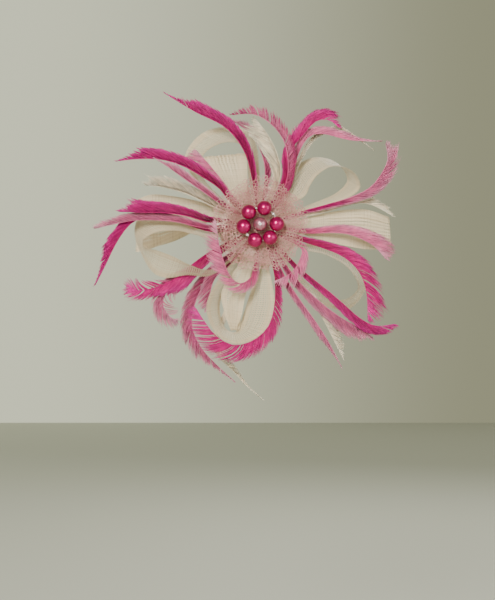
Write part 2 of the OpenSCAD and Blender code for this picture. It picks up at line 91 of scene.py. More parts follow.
soft_light("window", (-0.30, -1.15, 0.38), 0.32, 24.0, (1.0, 0.97, 0.9))
soft_light("room_side", (1.1, -0.9, 0.2), 1.1, 11.0, (1.0, 0.98, 0.94))
soft_light("behind", (0.3, 1.1, 0.7), 0.9, 7.0, (1.0, 0.98, 0.94))

world = bpy.data.worlds.new("pale_room")
world.use_nodes = True
room = world.node_tree.nodes["Background"]
room.inputs["Color"].default_value = (0.60, 0.61, 0.50, 1)
room.inputs["Strength"].default_value = 0.62
bpy.context.scene.world = world

# %% [markdown]
# ## Helpers for materials
#
# Every finish here is a small node tree. These helpers only save typing: they start a
# material, add a node and set its sockets, and build the few patterns that most finishes
# share, such as a noise, a colour ramp and a shallow relief.


# %% Material helpers
def new_material(name):
    """A material, its tree, its main shader and its output."""
    mat = bpy.data.materials.new(name)
    mat.use_nodes = True
    tree = mat.node_tree
    return mat, tree, tree.nodes["Principled BSDF"], tree.nodes["Material Output"]


def add(tree, kind, **sockets):
    """A node with its named sockets set, or linked where the value is another node's socket."""
    node = tree.nodes.new(kind)
    for key, value in sockets.items():
        put(tree, node, key.replace("_", " "), value)
    return node


def put(tree, node, key, value):
    """Sets one socket, or links it where the value is another node's socket."""
    socket = node.inputs[int(key)] if key.isdigit() else node.inputs[key]
    if isinstance(value, bpy.types.NodeSocket):
        tree.links.new(value, socket)
    elif socket.type == "RGBA" and len(value) == 3:
        socket.default_value = (*value, 1)
    else:
        socket.default_value = value


def mix_colour(tree, factor, a, b, blend="MIX"):
    """A colour mix, with sockets or plain colours."""
    node = tree.nodes.new("ShaderNodeMix")
    node.data_type = "RGBA"
    node.blend_type = blend
    for index, value in ((0, factor), (6, a), (7, b)):
        put(tree, node, str(index), value)
    return node.outputs[2]


def grey(value):
    return (value, value, value)


def ramp(tree, factor, *stops):
    """A smooth colour ramp through (position, colour) stops."""
    node = tree.nodes.new("ShaderNodeValToRGB")
    band = node.color_ramp
    band.interpolation = "EASE"
    while len(band.elements) < len(stops):
        band.elements.new(0.5)
    for element, (position, colour) in zip(band.elements, stops):
        element.position = position
        element.color = (*colour, 1)
    tree.links.new(factor, node.inputs[0])
    return node.outputs[0]


def calculate(tree, operation, a, b):
    node = tree.nodes.new("ShaderNodeMath")
    node.operation = operation
    put(tree, node, "0", a)
    put(tree, node, "1", b)
    return node.outputs[0]


def attribute(tree, name):
    """The numbers that a mesh keeps under this name."""
    node = tree.nodes.new("ShaderNodeAttribute")
    node.attribute_name = name
    return node


def on_object(tree):
    return add(tree, "ShaderNodeTexCoord").outputs["Object"]


def noise(tree, vector, scale, detail):
    return add(tree, "ShaderNodeTexNoise", Vector=vector, Scale=scale, Detail=detail).outputs[0]


def set_sockets(tree, shader, **sockets):
    """Sets or links the shader's named sockets."""
    for key, value in sockets.items():
        put(tree, shader, key.replace("_", " "), value)


def relief(tree, shader, height, strength, depth):
    """A shallow relief on the surface, depth in metres."""
    bump = add(tree, "ShaderNodeBump", Height=height, Strength=strength, Distance=depth)
    tree.links.new(bump.outputs[0], shader.inputs["Normal"])


def see_through(tree, output, shader, share, colour):
    """Lets some of the light pass through a thin thing, as cloth and feather do."""
    glow = add(tree, "ShaderNodeBsdfTranslucent", Color=colour)
    mixed = tree.nodes.new("ShaderNodeMixShader")
    mixed.inputs[0].default_value = share
    tree.links.new(shader.outputs[0], mixed.inputs[1])
    tree.links.new(glow.outputs[0], mixed.inputs[2])
    tree.links.new(mixed.outputs[0], output.inputs["Surface"])


# %% [markdown]
# ## Helpers for pieces
#
# Three habits keep every piece tidy. A piece is made flat and straight with mesh operators,
# then bent onto its place. The bend works on all the vertices at once, as arrays, which is
# quick enough for thousands of barbs. And a finished piece sits at the origin with its place
# in its mesh, rides on a body, and says which solids it stands for.


# %% Piece helpers
def co_of(mesh):
    """All the vertices of a mesh as an array."""
    flat = np.empty(len(mesh.vertices) * 3)
    mesh.vertices.foreach_get("co", flat)
    return flat.reshape(-1, 3)


def set_co(mesh, co):
    mesh.vertices.foreach_set("co", np.ascontiguousarray(co, dtype=float).ravel())
    mesh.update()


def to_mesh(bm, name):
    mesh = bpy.data.meshes.new(name)
    bm.to_mesh(mesh)
    bm.free()
    return mesh


def whole(bm):
    return bm.verts[:] + bm.edges[:] + bm.faces[:]


def tip_forward(bm, verts):
    """Turns what was made round Z to stand round Y, the way the flower faces."""
    bmesh.ops.rotate(bm, verts=verts, cent=(0, 0, 0), matrix=TIP_FORWARD)


def finished_mesh(bm, name):
    bmesh.ops.recalc_face_normals(bm, faces=bm.faces)
    return to_mesh(bm, name)


def piece(name, mesh, material, replaced=(), body="headpiece"):
    """Puts a finished mesh, in millimetres, into the scene as a piece of the headpiece."""
    set_co(mesh, co_of(mesh) * MM)
    mesh.materials.append(material)
    mesh.shade_smooth()
    obj = bpy.data.objects.new(name, mesh)
    bpy.context.scene.collection.objects.link(obj)
    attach(obj, body)
    if replaced:
        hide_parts(*replaced)
    return obj


def paint(mesh, name, values):
    """Keeps one number per vertex, for a material to read."""
    layer = mesh.attributes.new(name, "FLOAT", "POINT")
    layer.data.foreach_set("value", np.ascontiguousarray(values, dtype=np.float32))


def paint_cloth(mesh, places):
    """Keeps each vertex's place on the flat cloth, so that the weave follows the bends."""
    layer = mesh.attributes.new("cloth", "FLOAT_VECTOR", "POINT")
    layer.data.foreach_set("vector", places.astype(np.float32).ravel())


# %% [markdown]
# ## Routes
#
# Feathers and ribbons follow smooth curves through chosen points. A point is given as
# across, up and out: out is how far it stands off the disc's front face. Both ends start
# inside the knot that holds them. A route is then measured, so that a barb or a thread can
# be placed at any distance along it, and even a little past its end.

# %% Routes
FRONT_Y = -6.3  # front face of the disc
GATHER_R, GATHER_H = 10.5, 8.0  # the knot of ribbon ends
STEM_R, STEM_H = 8.5, 5.6  # the bound feather stems
HELD = 1.6  # how deep an end sits in its knot
# how far out the stems leave their knots
STEM_STEP = STEM_H * 0.27
LOW, RAISED_LOW = 0.8, 2.0
BACK = GATHER_H + STEM_H * 0.22
MID = BACK + STEM_STEP
TOP = MID + STEM_STEP


def place(point):
    """A point given as across, up and out, in the frame."""
    return np.array((point[0], FRONT_Y - point[2], point[1]), dtype=float)


def anchor(radius, angle, out):
    """A place at this radius and angle round the flower."""
    turn = math.radians(angle)
    return np.array((radius * math.cos(turn), FRONT_Y - out, radius * math.sin(turn)))


def smooth_route(points, steps):
    """The curve through these points, with this many steps from each to the next."""
    points = [np.asarray(p, dtype=float) for p in points]
    last = len(points) - 1
    route = []
    for i in range(last):
        a, b = points[max(i - 1, 0)], points[i]
        c, d = points[i + 1], points[min(i + 2, last)]
        for j in range(steps):
            t = j / steps
            route.append(
                0.5 * (2 * b + (c - a) * t + (2 * a - 5 * b + 4 * c - d) * t * t
                       + (3 * b - a - 3 * c + d) * t ** 3)
            )
    route.append(points[last])
    return np.array(route)


def read_rows(s, marks, rows):
    """The rows of three numbers, read at the distances s between the marks."""
    return np.stack([np.interp(s, marks, rows[:, k]) for k in range(3)], axis=-1)


def marks_along(route):
    """The distance from the start to each point, and the length of each step."""
    steps = np.linalg.norm(np.diff(route, axis=0), axis=1)
    return np.concatenate(([0.0], np.cumsum(steps))), steps


class Route:
    """A measured curve: places and directions at any distance along it."""

    def __init__(self, route):
        self.points = route
        self.marks, _ = marks_along(route)
        self.length = float(self.marks[-1])
        ahead = np.gradient(route, self.marks, axis=0)
        self.ahead = ahead / np.linalg.norm(ahead, axis=1, keepdims=True)

    def direction(self, s):
        d = read_rows(np.clip(s, 0, self.length), self.marks, self.ahead)
        return d / np.linalg.norm(d, axis=-1, keepdims=True)

    def at(self, s):
        """The place at distance s. Past either end the curve runs on straight."""
        inside = np.clip(s, 0, self.length)
        past = self.direction(s) * (s - inside)[..., None]
        return read_rows(inside, self.marks, self.points) + past


# %% [markdown]
# ## Feather material
#
# A dyed feather is painted dark along the first part of the quill: this is painted shade, where
# the loops and net round the middle shade the feathers. It is brighter along the blade, and paler
# at the wispy tips, where light comes through. Each barb also differs a little from its
# neighbours. The barbs are geometry, so the material only has to carry colour, a silky sheen and
# some light passing through. It reads three numbers that each feather keeps per vertex: how far
# along the quill, how far out along the barb, and a chance value of its own barb.


# %% Feather materials
def feather_material(name, dark, body, tip, through, lead=None):
    """lead is the colour of the first part of a feather that was dyed in two tones."""
    mat, tree, shader, output = new_material(name)
    along = attribute(tree, "along").outputs["Fac"]
    outward = attribute(tree, "outward").outputs["Fac"]
    own = attribute(tree, "own").outputs["Fac"]
    # The dark stop near the stem is painted shade, where the loops and net round the middle shade
    # the feathers.
    blade = ramp(tree, along, (0.25, dark), (0.55, body), (0.8, body), (1.0, tip))
    if lead:
        second_dye = ramp(tree, along, (0.38, grey(0)), (0.55, grey(1)))
        blade = mix_colour(tree, second_dye, lead, blade)
    towards_tip = ramp(tree, outward, (0.45, grey(0)), (1.0, grey(0.75)))
    edge = mix_colour(tree, towards_tip, blade, tip)
    shade = ramp(tree, own, (0.0, grey(0.80)), (0.5, grey(0.97)), (1.0, (1.1, 1.08, 1.09)))
    varied = mix_colour(tree, 1.0, edge, shade, "MULTIPLY")
    coords = on_object(tree)
    soft = ramp(tree, noise(tree, coords, 260.0, 3.0), (0.3, grey(0.86)), (0.7, grey(1.06)))
    colour = mix_colour(tree, 1.0, varied, soft, "MULTIPLY")
    set_sockets(tree, shader, Base_Color=colour, Roughness=0.5, Specular_IOR_Level=0.22,
           Sheen_Weight=0.06, Sheen_Roughness=0.4)
    relief(tree, shader, noise(tree, coords, 2600.0, 2.0), 0.25, 0.0001)
    see_through(tree, output, shader, through, colour)
    return mat


# each dye from the stem to the tip: dark, which is painted shade near the middle, body, tip
FUCHSIA_DYE_AND_SHADE = (0.34, 0.0, 0.08), (0.54, 0.0, 0.17), (0.74, 0.03, 0.33)
PINK_DYE_AND_SHADE = (0.62, 0.07, 0.22), (0.80, 0.18, 0.37), (0.90, 0.42, 0.57)
CREAM_DYE_AND_SHADE = (0.86, 0.72, 0.51), (0.92, 0.82, 0.63), (0.95, 0.89, 0.74)

fuchsia = feather_material("fuchsia feather", *FUCHSIA_DYE_AND_SHADE, 0.22)
pink = feather_material("pink feather", *PINK_DYE_AND_SHADE, 0.35)
cream = feather_material("cream feather", *CREAM_DYE_AND_SHADE, 0.4)
two_tone = feather_material(
    "two-tone feather", FUCHSIA_DYE_AND_SHADE[0], *PINK_DYE_AND_SHADE[1:], 0.3, lead=FUCHSIA_DYE_AND_SHADE[1])
tipped = feather_material("tipped feather", *PINK_DYE_AND_SHADE[:2], FUCHSIA_DYE_AND_SHADE[1], 0.3)
print("feather materials:", [m.name for m in (fuchsia, pink, cream, two_tone, tipped)])

# %% [markdown]
# ## How a feather is made
#
# A feather is a tapering quill with hundreds of barbs on it. Here one side has been stripped,
# as milliners do, so the barbs stand on one side only. Near the stem they lie close together
# and read as a smooth blade; towards the end they open into separate points.
#
# One barb is made once: a three-sided rod, cut into a few lengths and pressed flat. Copies
# are then bent along the quill. It could be done with a hair system, but hair has no mesh, and
# it would change with the render settings. Real barbs cost a few dozen faces each and look
# right from every side.

# %% One straight barb and one straight quill
BARB_CUTS, QUILL_CUTS = 4, 22


def straight_rod(sides, cuts, name):
    """A closed rod of radius 1 along Z from 0 to 1, cut into equal lengths."""
    bm = bmesh.new()
    bmesh.ops.create_cone(
        bm, cap_ends=True, cap_tris=True, segments=sides, radius1=1, radius2=1, depth=1)
    bmesh.ops.translate(bm, verts=bm.verts, vec=(0, 0, 0.5))
    for k in range(1, cuts):
        bmesh.ops.bisect_plane(
            bm, geom=whole(bm), plane_co=(0, 0, k / cuts), plane_no=(0, 0, 1), dist=1e-6)
    bmesh.ops.triangulate(bm, faces=bm.faces)
    return finished_mesh(bm, name)


BARB = straight_rod(3, BARB_CUTS, "straight_barb")
QUILL = straight_rod(8, QUILL_CUTS, "straight_quill")
print("barb", len(BARB.polygons), "faces, quill", len(QUILL.polygons), "faces")


# %% Bend barbs and quill into a feather
def copies(mesh, count, name):
    """count copies of a mesh in one mesh, in order."""
    bm = bmesh.new()
    for _ in range(count):
        bm.from_mesh(mesh)
    return to_mesh(bm, name)


def across_of(ahead, side):
    """The way the barbs point: square to the quill, flat in the spray."""
    sideways = np.stack([-ahead[..., 2], np.zeros_like(ahead[..., 0]), ahead[..., 0]], axis=-1)
    return side * sideways / np.maximum(np.linalg.norm(sideways, axis=-1, keepdims=True), 1e-6)


def blade_place(route, side, s, w, lift):
    """A place in the blade: s along the quill, w out from it, lift off it."""
    ahead = route.direction(s)
    across = across_of(ahead, side)
    return route.at(s) + across * w[..., None] + np.cross(ahead, across) * lift[..., None]


def beside_route(middle, across, normal, sideways, off):
    """Moves places sideways in the blade and off it."""
    return middle + across * sideways[..., None] + normal * off[..., None]


ROUTE_STEPS = 14
BARE_STEM = 0.05  # share of the quill that has no barbs
CLOSED_SLOPE = 20  # degrees from the quill where the barbs lie together
CLUMP_EVERY = 1.7  # barbs this far apart lean their own way
TIP_FROM = 0.9  # from here the barbs turn in towards the tip
SHORTEST = 0.5  # barb left at the very tip
STEP = 0.02  # used to see which way a barb is going
BARB_HALF, BARB_THICK = 0.27, 0.055
QUILL_R, QUILL_THINS, QUILL_SHARE, QUILL_SHADE = 0.42, 0.72, 0.985, 0.35


# %% A whole feather
def feather(name, material, slot, spec, opens=0.6, splay=38, wild=1.0, pitch=0.2, both=0.0,
            taper=0.16):
    """spec is (angle, out, knot radius, side, four widths, quill points).

    opens is how far along the barbs begin to part, splay their angle to the quill where they
    have parted, wild how unruly they are, and both the share of barbs that still stand on the
    stripped side towards the tip. The blade narrows to its point over the last share, taper.
    """
    angle, out, radius, side, widths, points = spec
    rng = np.random.default_rng(sum(ord(c) * (i + 1) for i, c in enumerate(name)))
    start = anchor(radius - HELD, angle, out)
    route = Route(smooth_route([start] + [place(p) for p in points], ROUTE_STEPS))
    length = route.length
    count = int(length / pitch)

    # where each barb stands, which way it leans and how long it is
    seat = np.sort(rng.uniform(BARE_STEM, 1.0, count)) * length
    run = seat / length
    narrowing = np.clip((1 - run) / taper, 0.08, 1) ** 0.6
    width = np.interp(run, (0, 1 / 3, 2 / 3, 1), widths) * narrowing
    loose = np.clip((run - opens) / max(1 - opens, 0.05), 0, 1)
    knots = np.arange(0, length + 3, CLUMP_EVERY)
    clump = np.interp(seat, knots, rng.normal(0, 1, len(knots)))
    unruly = (0.4 + 2.8 * loose) * clump + rng.normal(0, 0.9, count)
    slope = np.radians(CLOSED_SLOPE + (splay - CLOSED_SLOPE) * np.sqrt(loose) + unruly * wild)
    at_tip = np.clip((run - TIP_FROM) / 0.1, 0, 1)
    slope = slope * (1 - 0.45 * at_tip)
    flip = np.where((rng.uniform(0, 1, count) < both * loose), -1.0, 1.0)
    reach = width * rng.normal(1.0, 0.05 + 0.09 * loose, count) * (1 + 0.12 * loose)
    left = length - seat + SHORTEST + rng.uniform(0, 2.5, count) * loose
    long = np.minimum(reach / np.sin(slope), left / np.cos(slope))
    lift_end = rng.normal(0, 0.12 + 0.5 * loose * wild, count)

    # bend the straight barbs: u runs from 0 at the quill to 1 at a barb's point
    barbs = copies(BARB, count, name)
    flat = co_of(barbs).reshape(count, -1, 3)
    u = flat[..., 2]
    along, out_from = np.cos(slope)[:, None], np.sin(slope)[:, None]
    s = seat[:, None] + along * long[:, None] * u
    w = out_from * long[:, None] * u ** 0.94
    w = w * flip[:, None]
    lift = lift_end[:, None] * u ** 2 + rng.normal(0, 0.05, count)[:, None]
    middle = blade_place(route, side, s, w, lift)
    next_place = blade_place(
        route, side, s + along * STEP, w + out_from * STEP * flip[:, None], lift)
    ahead_u = next_place - middle
    ahead_u /= np.linalg.norm(ahead_u, axis=-1, keepdims=True)
    quill_ahead = route.direction(s)
    normal = np.cross(quill_ahead, across_of(quill_ahead, side))
    beside = np.cross(normal, ahead_u)
    closed_to = (0.85 - 0.62 * loose)[:, None]
    half = BARB_HALF * np.clip((1 - u) / (1 - closed_to), 0.07, 1) ** 0.8
    bent = beside_route(middle, beside, normal, flat[..., 0] * half, flat[..., 1] * BARB_THICK)
    set_co(barbs, bent.reshape(-1, 3))
    paint(barbs, "along", np.repeat(run, flat.shape[1]))
    paint(barbs, "outward", u.ravel())
    paint(barbs, "own", np.repeat(rng.uniform(0, 1, count), flat.shape[1]))

    # bend the quill
    quill = QUILL.copy()
    rod = co_of(quill)
    t = rod[:, 2]
    s = t * length * QUILL_SHARE
    ahead = route.direction(s)
    across = across_of(ahead, side)
    normal = np.cross(ahead, across)
    thick = QUILL_R * (1 - QUILL_THINS * t)
    set_co(quill, beside_route(route.at(s), across, normal, rod[:, 0] * thick, rod[:, 1] * thick))
    paint(quill, "along", t)
    paint(quill, "outward", np.zeros(len(t)))
    paint(quill, "own", np.full(len(t), QUILL_SHADE))

    bm = bmesh.new()
    bm.from_mesh(barbs)
    bm.from_mesh(quill)
    made = finished_mesh(bm, name)
    bpy.data.meshes.remove(barbs)
    bpy.data.meshes.remove(quill)
    return piece(name + "_plume", made, material, [name])


# %% [markdown]
# ## Fuchsia feathers
#
# Nine feathers carry the strong colour. Most are smooth for half their length and then break
# into points. The big hook under the flower is evener than the rest, and its long barbs are
# spread all round its bend.

# %% Fuchsia feathers
LEFT, RIGHT = 1, -1
FUCHSIA = {
    "fuchsia_feather_top_left": ((100, TOP, STEM_R, RIGHT, (1.2, 5, 7, 1), (
        (-4.5, 27, 14), (-9, 41, 19), (-19, 53, 22), (-36, 62, 20), (-53, 73, 14))),
        dict(opens=0.62, splay=30, taper=0.5)),
    "fuchsia_feather_top_right": ((60, MID, STEM_R, LEFT, (1.2, 4, 6, 3), (
        (14.5, 25, 12), (16.5, 40, 15), (24, 50, 17), (31, 57, 18), (38, 57.5, 17), (43, 54, 15))),
        dict(opens=0.72, splay=34)),
    "fuchsia_feather_right_arc": ((340, TOP, STEM_R, LEFT, (1.2, 5, 8, 9), (
        (24, -9, 13), (35.5, -13, 18), (46, -18, 22), (54, -26, 24), (58, -37, 23), (59, -52, 19))),
        dict(opens=0.35, splay=46, pitch=0.26)),
    "fuchsia_feather_lower_right": ((312, TOP, STEM_R, RIGHT, (1.2, 3, 5, 4), (
        (20, -22, 13.5), (28, -29, 16), (38, -37, 19), (46, -44, 21), (54, -51, 22),
        (63, -55.5, 21), (74, -54.5, 18))), dict(opens=0.78, splay=34)),
    "fuchsia_feather_bottom_hook": ((286, TOP, STEM_R, LEFT, (1.2, 4, 9, 9), (
        (7.5, -24, 13), (8.5, -33, 18), (8, -44, 22), (5, -55, 24), (-3, -63, 25), (-14, -66, 25),
        (-24, -61, 25), (-31, -52, 24), (-35.5, -45, 22))),
        dict(opens=0.05, splay=56, pitch=0.24, wild=0.4)),
    "fuchsia_feather_lower_left": ((207, RAISED_LOW, GATHER_R, LEFT, (1.2, 8, 4, 7), (
        (-14, -7, 3.6), (-27, -14, 5), (-37, -21, 5.5), (-45, -28, 6.5), (-54, -33, 8),
        (-66, -36, 10), (-74, -34, 10))), dict(opens=0.62, splay=46, both=0.45)),
    "fuchsia_feather_upper_left": ((142, TOP, STEM_R, RIGHT, (1.2, 5, 6, 2), (
        (-16.5, 13, 12.5), (-22, 20, 13.5), (-31, 26, 17), (-42, 32, 20), (-54, 35.5, 21),
        (-67, 36, 19), (-79, 35, 16))), dict(opens=0.62, splay=32, taper=0.3)),
    "fuchsia_feather_left": ((172, TOP, STEM_R, RIGHT, (1.2, 5, 7, 3), (
        (-26, 1.5, 13), (-32, 2.5, 15), (-40, 4.7, 18), (-52, 6.4, 21), (-65, 6.5, 22),
        (-77, 7, 20))), dict(opens=0.6, splay=30, taper=0.3)),
    "fuchsia_feather_left_droop": ((186, BACK, STEM_R, RIGHT, (1.2, 3, 6, 2), (
        (-26, -3.5, 11), (-45, 2, 14), (-60, 4.5, 14.5), (-68, 3, 14.5), (-74, -2, 14),
        (-80, -11, 13), (-86, -23, 11), (-91.5, -33, 8))), dict(opens=0.6, splay=26, taper=0.4)),
}
for name, (spec, habit) in FUCHSIA.items():
    made = feather(name, fuchsia, "fuchsia_feather", spec, **habit)
    print(name, len(made.data.polygons), "faces")

# %% [markdown]
# ## Pink feathers
#
# Sixteen paler feathers fill the spray. They are softer, so their barbs part sooner and stray
# more. The raised one on the right was dyed in two tones, fuchsia to the middle and then pink,
# and the one that arches over the top had the ends of its barbs dipped in fuchsia.

# %% Pink feathers
PINK = {
    "pink_feather_top_arch": ((60, TOP, STEM_R, RIGHT, (1.2, 4, 5, 3), (
        (14, 22, 13.5), (15, 38, 21), (10, 50, 26), (-2, 59, 28), (-16, 59, 27))),
        dict(opens=0.1, splay=60, pitch=0.26)),
    "pink_feather_top_short": ((87, BACK, STEM_R, RIGHT, (1.2, 4, 4, 2), (
        (3, 27, 12), (1, 39, 15), (-5, 50, 16), (-15, 57, 16))), dict(opens=0.5, splay=36)),
    "pink_feather_top_right_long": ((54, BACK, STEM_R, LEFT, (1.2, 3, 5, 1), (
        (17, 25, 10.6), (20.5, 38, 11.6), (26, 48, 14), (34, 50.5, 14.4), (50, 47, 13),
        (67, 46.5, 11))), dict(opens=0.8, splay=26, taper=0.5)),
    "pink_feather_top_right_short": ((49, MID, STEM_R, LEFT, (1.2, 2, 4, 2), (
        (16.5, 20.5, 12), (19.5, 36, 13.2), (19.2, 48, 13), (23.5, 56, 11.6))),
        dict(opens=0.45, splay=34)),
    "pink_feather_right_raised": ((18, TOP, STEM_R, RIGHT, (1.2, 2.5, 6, 5), (
        (25, 8, 13), (35, 10.5, 17), (50, 15, 21), (60, 20, 22), (66.5, 28, 21), (70, 36, 19),
        (69, 44, 17))), dict(opens=0.5, splay=38)),
    "pink_feather_right": ((353, MID, STEM_R, LEFT, (1.2, 4, 8, 5), (
        (25, -4.2, 12.5), (40, -4.2, 17), (49, -5.4, 20), (58, -9, 20), (64, -13, 18),
        (69, -18.5, 15))), dict(opens=0.6, splay=34)),
    "pink_feather_lower_right": ((303, MID, STEM_R, RIGHT, (1.2, 4, 7, 3), (
        (17, -26, 13), (26, -36, 15), (36, -45, 17), (46, -52, 18), (56, -57.5, 18),
        (62, -62, 16))), dict(opens=0.55, splay=36)),
    "pink_feather_down_right": ((294, BACK, STEM_R, RIGHT, (1.2, 3, 3.5, 1.5), (
        (14, -29, 13), (21, -40, 15), (31, -54, 16), (38, -65, 15), (45, -78, 12))),
        dict(opens=0.8, splay=28, taper=0.4)),
    "pink_feather_front_hook": ((261, MID, STEM_R, LEFT, (1.2, 5, 7, 4), (
        (-4, -26, 12.5), (-6, -30, 16), (-11, -32.5, 20), (-16, -29, 24), (-20, -20, 27),
        (-23, -8, 28), (-24, 1.5, 27))), dict(opens=0.05, splay=56, pitch=0.28, wild=0.4)),
    "pink_feather_lower_left": ((216, LOW, GATHER_R, RIGHT, (1.2, 3, 6, 6), (
        (-12, -9, 2), (-32, -22, 3.2), (-46, -30, 4), (-52, -37, 6), (-54, -44, 7),
        (-50, -50.5, 7), (-46, -53, 6))), dict(opens=0.5, splay=44, both=0.25)),
    "pink_feather_bottom_long": ((229, LOW, GATHER_R, RIGHT, (1.2, 6, 6, 2), (
        (-10, -12, 1.2), (-22, -22, 1), (-31, -32, 0.5), (-37, -45, 0), (-38, -57, -0.5),
        (-33, -68, -0.5), (-26, -76, -0.5), (-14, -87, -0.5))),
        dict(opens=0.3, splay=44, taper=0.4)),
    "pink_feather_bottom_short": ((238, RAISED_LOW, GATHER_R, RIGHT, (1.2, 5, 6, 2), (
        (-8, -12.5, 2.4), (-17, -22, 3), (-25, -29, 3.8), (-28, -38, 3.6), (-30, -48, 3.2))),
        dict(opens=0.45, splay=40)),
    "pink_feather_upper_left": ((152, MID, STEM_R, RIGHT, (1.2, 3, 4, 1), (
        (-20, 10.5, 13), (-28, 16, 17), (-40, 24, 22), (-50, 31, 25), (-58, 36, 25))),
        dict(opens=0.65, splay=32, taper=0.35)),
    "pink_feather_upper_left_broad": ((132, BACK, STEM_R, LEFT, (1.2, 3, 6, 6), (
        (-15, 16, 11.5), (-19, 22, 12.5), (-27, 32, 14.5), (-35, 41, 16))),
        dict(opens=0.55, splay=36)),
    "pink_feather_left": ((180, MID, STEM_R, RIGHT, (1.2, 3.5, 4, 5), (
        (-26, -2, 12.5), (-34, -1, 14.5), (-46, 1.7, 17), (-58, 2.6, 18), (-70, 2.3, 18),
        (-82, 0, 16), (-91, -2, 14))), dict(opens=0.6, splay=34, taper=0.3)),
    "pink_feather_under_net": ((325, MID, STEM_R, LEFT, (1.2, 3, 7, 3), (
        (22, -12, 14.3), (22, -19, 15.5), (17, -26.5, 18.5), (8, -31, 21.5))),
        dict(opens=0.1, splay=52, pitch=0.28, wild=0.5)),
}
DYES = {"pink_feather_right_raised": two_tone, "pink_feather_top_arch": tipped}
for name, (spec, habit) in PINK.items():
    made = feather(name, DYES.get(name, pink), "pink_feather", spec, **{"wild": 1.3, **habit})
    print(name, len(made.data.polygons), "faces")

# %% [markdown]
# ## Cream feathers
#
# Undyed feathers lie behind the others and close to the ribbon's colour. They are the
# thinnest, with the most light coming through.

# %% Cream feathers
CREAM = {
    "cream_feather_top": ((73, MID, STEM_R, LEFT, (1.2, 7, 8, 2), (
        (11, 26, 13.5), (9.5, 38, 19), (4, 49, 22.5), (-3, 58, 23))), dict(opens=0.55, splay=36)),
    "cream_feather_top_right": ((45, BACK, STEM_R, RIGHT, (1.2, 2, 3, 1), (
        (15.5, 19, 9.6), (20, 34, 9), (29, 49, 9.5), (42, 55, 11), (52, 50, 11), (63, 42, 9))),
        dict(opens=0.6, splay=30, taper=0.5)),
    "cream_feather_right": ((10, BACK, STEM_R, LEFT, (1.2, 3, 4, 2), (
        (25, 5, 11.5), (33, 6.5, 13), (49, 11, 16), (58, 12, 16.5), (66, 9, 15.5),
        (73, 5, 14))), dict(opens=0.55, splay=32)),
    "cream_feather_down_right": ((300, BACK, STEM_R, LEFT, (1.2, 4, 5, 2), (
        (18, -32, 12), (30, -44, 13), (37, -56, 14), (46, -74, 12))), dict(opens=0.5, splay=36)),
    "cream_feather_bottom_long": ((252, LOW, GATHER_R, LEFT, (1.2, 3, 4, 1), (
        (-5, -14, 1.4), (-12, -30, 1), (-20, -48, 0.5), (-26, -62, 0), (-24, -72, 0),
        (-14, -82, 0), (-8, -89, 0), (2, -97.5, -1))), dict(opens=0.65, splay=32, taper=0.5)),
    "cream_feather_left": ((160, BACK, STEM_R, RIGHT, (1.2, 5, 6, 3), (
        (-25, 10, 11.5), (-40, 17, 14), (-52, 20.5, 15), (-63, 22, 14))),
        dict(opens=0.5, splay=36)),
}
for name, (spec, habit) in CREAM.items():
    made = feather(name, cream, "cream_feather", spec, wild=1.2, **habit)
    print(name, len(made.data.polygons), "faces")

# %% [markdown]
# ## Stiffened open-weave ribbon
#
# The loops are cut on the straight from sinamay, a stiff cloth of flat banana-fibre threads
# with square holes about as wide as a thread. The holes can be painted as see-through spots,
# but then the edge of each loop looks like card, and the pattern flickers at a distance. Here
# the cloth is really woven open: a grid of cells, each cell inset by half a thread, and its
# middle taken out. A folded hem along both edges is a second layer of the same grid, half a
# cell over, so it looks lighter and denser, as the real hem does.
#
# The cloth is made flat and to size, then bent so that its two edges follow the loop's two
# edge routes.


# %% Ribbon material
def ribbon_material():
    mat, tree, shader, output = new_material("open-weave ribbon")
    cloth = attribute(tree, "cloth")
    parts = add(tree, "ShaderNodeSeparateXYZ", Vector=cloth.outputs["Vector"])
    lengthwise = add(tree, "ShaderNodeCombineXYZ", X=parts.outputs[1])
    crosswise = add(tree, "ShaderNodeCombineXYZ", X=parts.outputs[0])
    warp = noise(tree, lengthwise.outputs[0], 1.3, 3.0)
    weft = noise(tree, crosswise.outputs[0], 1.1, 3.0)
    threads = mix_colour(tree, 0.5, warp, weft)
    fibre = ramp(tree, threads, (0.34, (0.58, 0.47, 0.30)), (0.5, (0.75, 0.65, 0.46)),
                 (0.66, (0.86, 0.78, 0.60)))
    blotch = noise(tree, on_object(tree), 55.0, 4.0)
    tint = ramp(tree, blotch, (0.3, (0.93, 0.91, 0.88)), (0.7, (1.03, 1.02, 1.0)))
    colour = mix_colour(tree, 1.0, fibre, tint, "MULTIPLY")
    set_sockets(tree, shader, Base_Color=colour, Roughness=0.42, Sheen_Weight=0.2)
    relief(tree, shader, noise(tree, cloth.outputs["Vector"], 9.0, 4.0), 0.6, 0.0002)
    see_through(tree, output, shader, 0.33, colour)
    return mat


ribbon = ribbon_material()

# %% Weave the flat cloth and bend it
THREAD_PITCH, THREAD_HALF = 1.15, 0.29
HEM, HEM_STEP, HEM_LIFT = 2.6, 0.12, 0.35
LEAST_WIDTH = 10.5
FRONT_END, BACK_END = 7.0, 2.6  # how far out a loop's two edges leave the knot
LOOP_STEPS = 20


def open_weave(length, width, pitch, half):
    """A flat cloth with its corner at 0, 0, and real holes between its threads."""
    bm = bmesh.new()
    cells_long, cells_wide = max(2, round(length / pitch)), max(2, round(width / pitch))
    bmesh.ops.create_grid(bm, x_segments=cells_long, y_segments=cells_wide, size=0.5)
    bmesh.ops.translate(bm, verts=bm.verts, vec=(0.5, 0.5, 0))
    bmesh.ops.scale(bm, verts=bm.verts, vec=(length, width, 1))
    cells = bm.faces[:]
    bmesh.ops.inset_individual(bm, faces=cells, thickness=half, use_even_offset=True)
    bmesh.ops.delete(bm, geom=cells, context="FACES")
    return bm


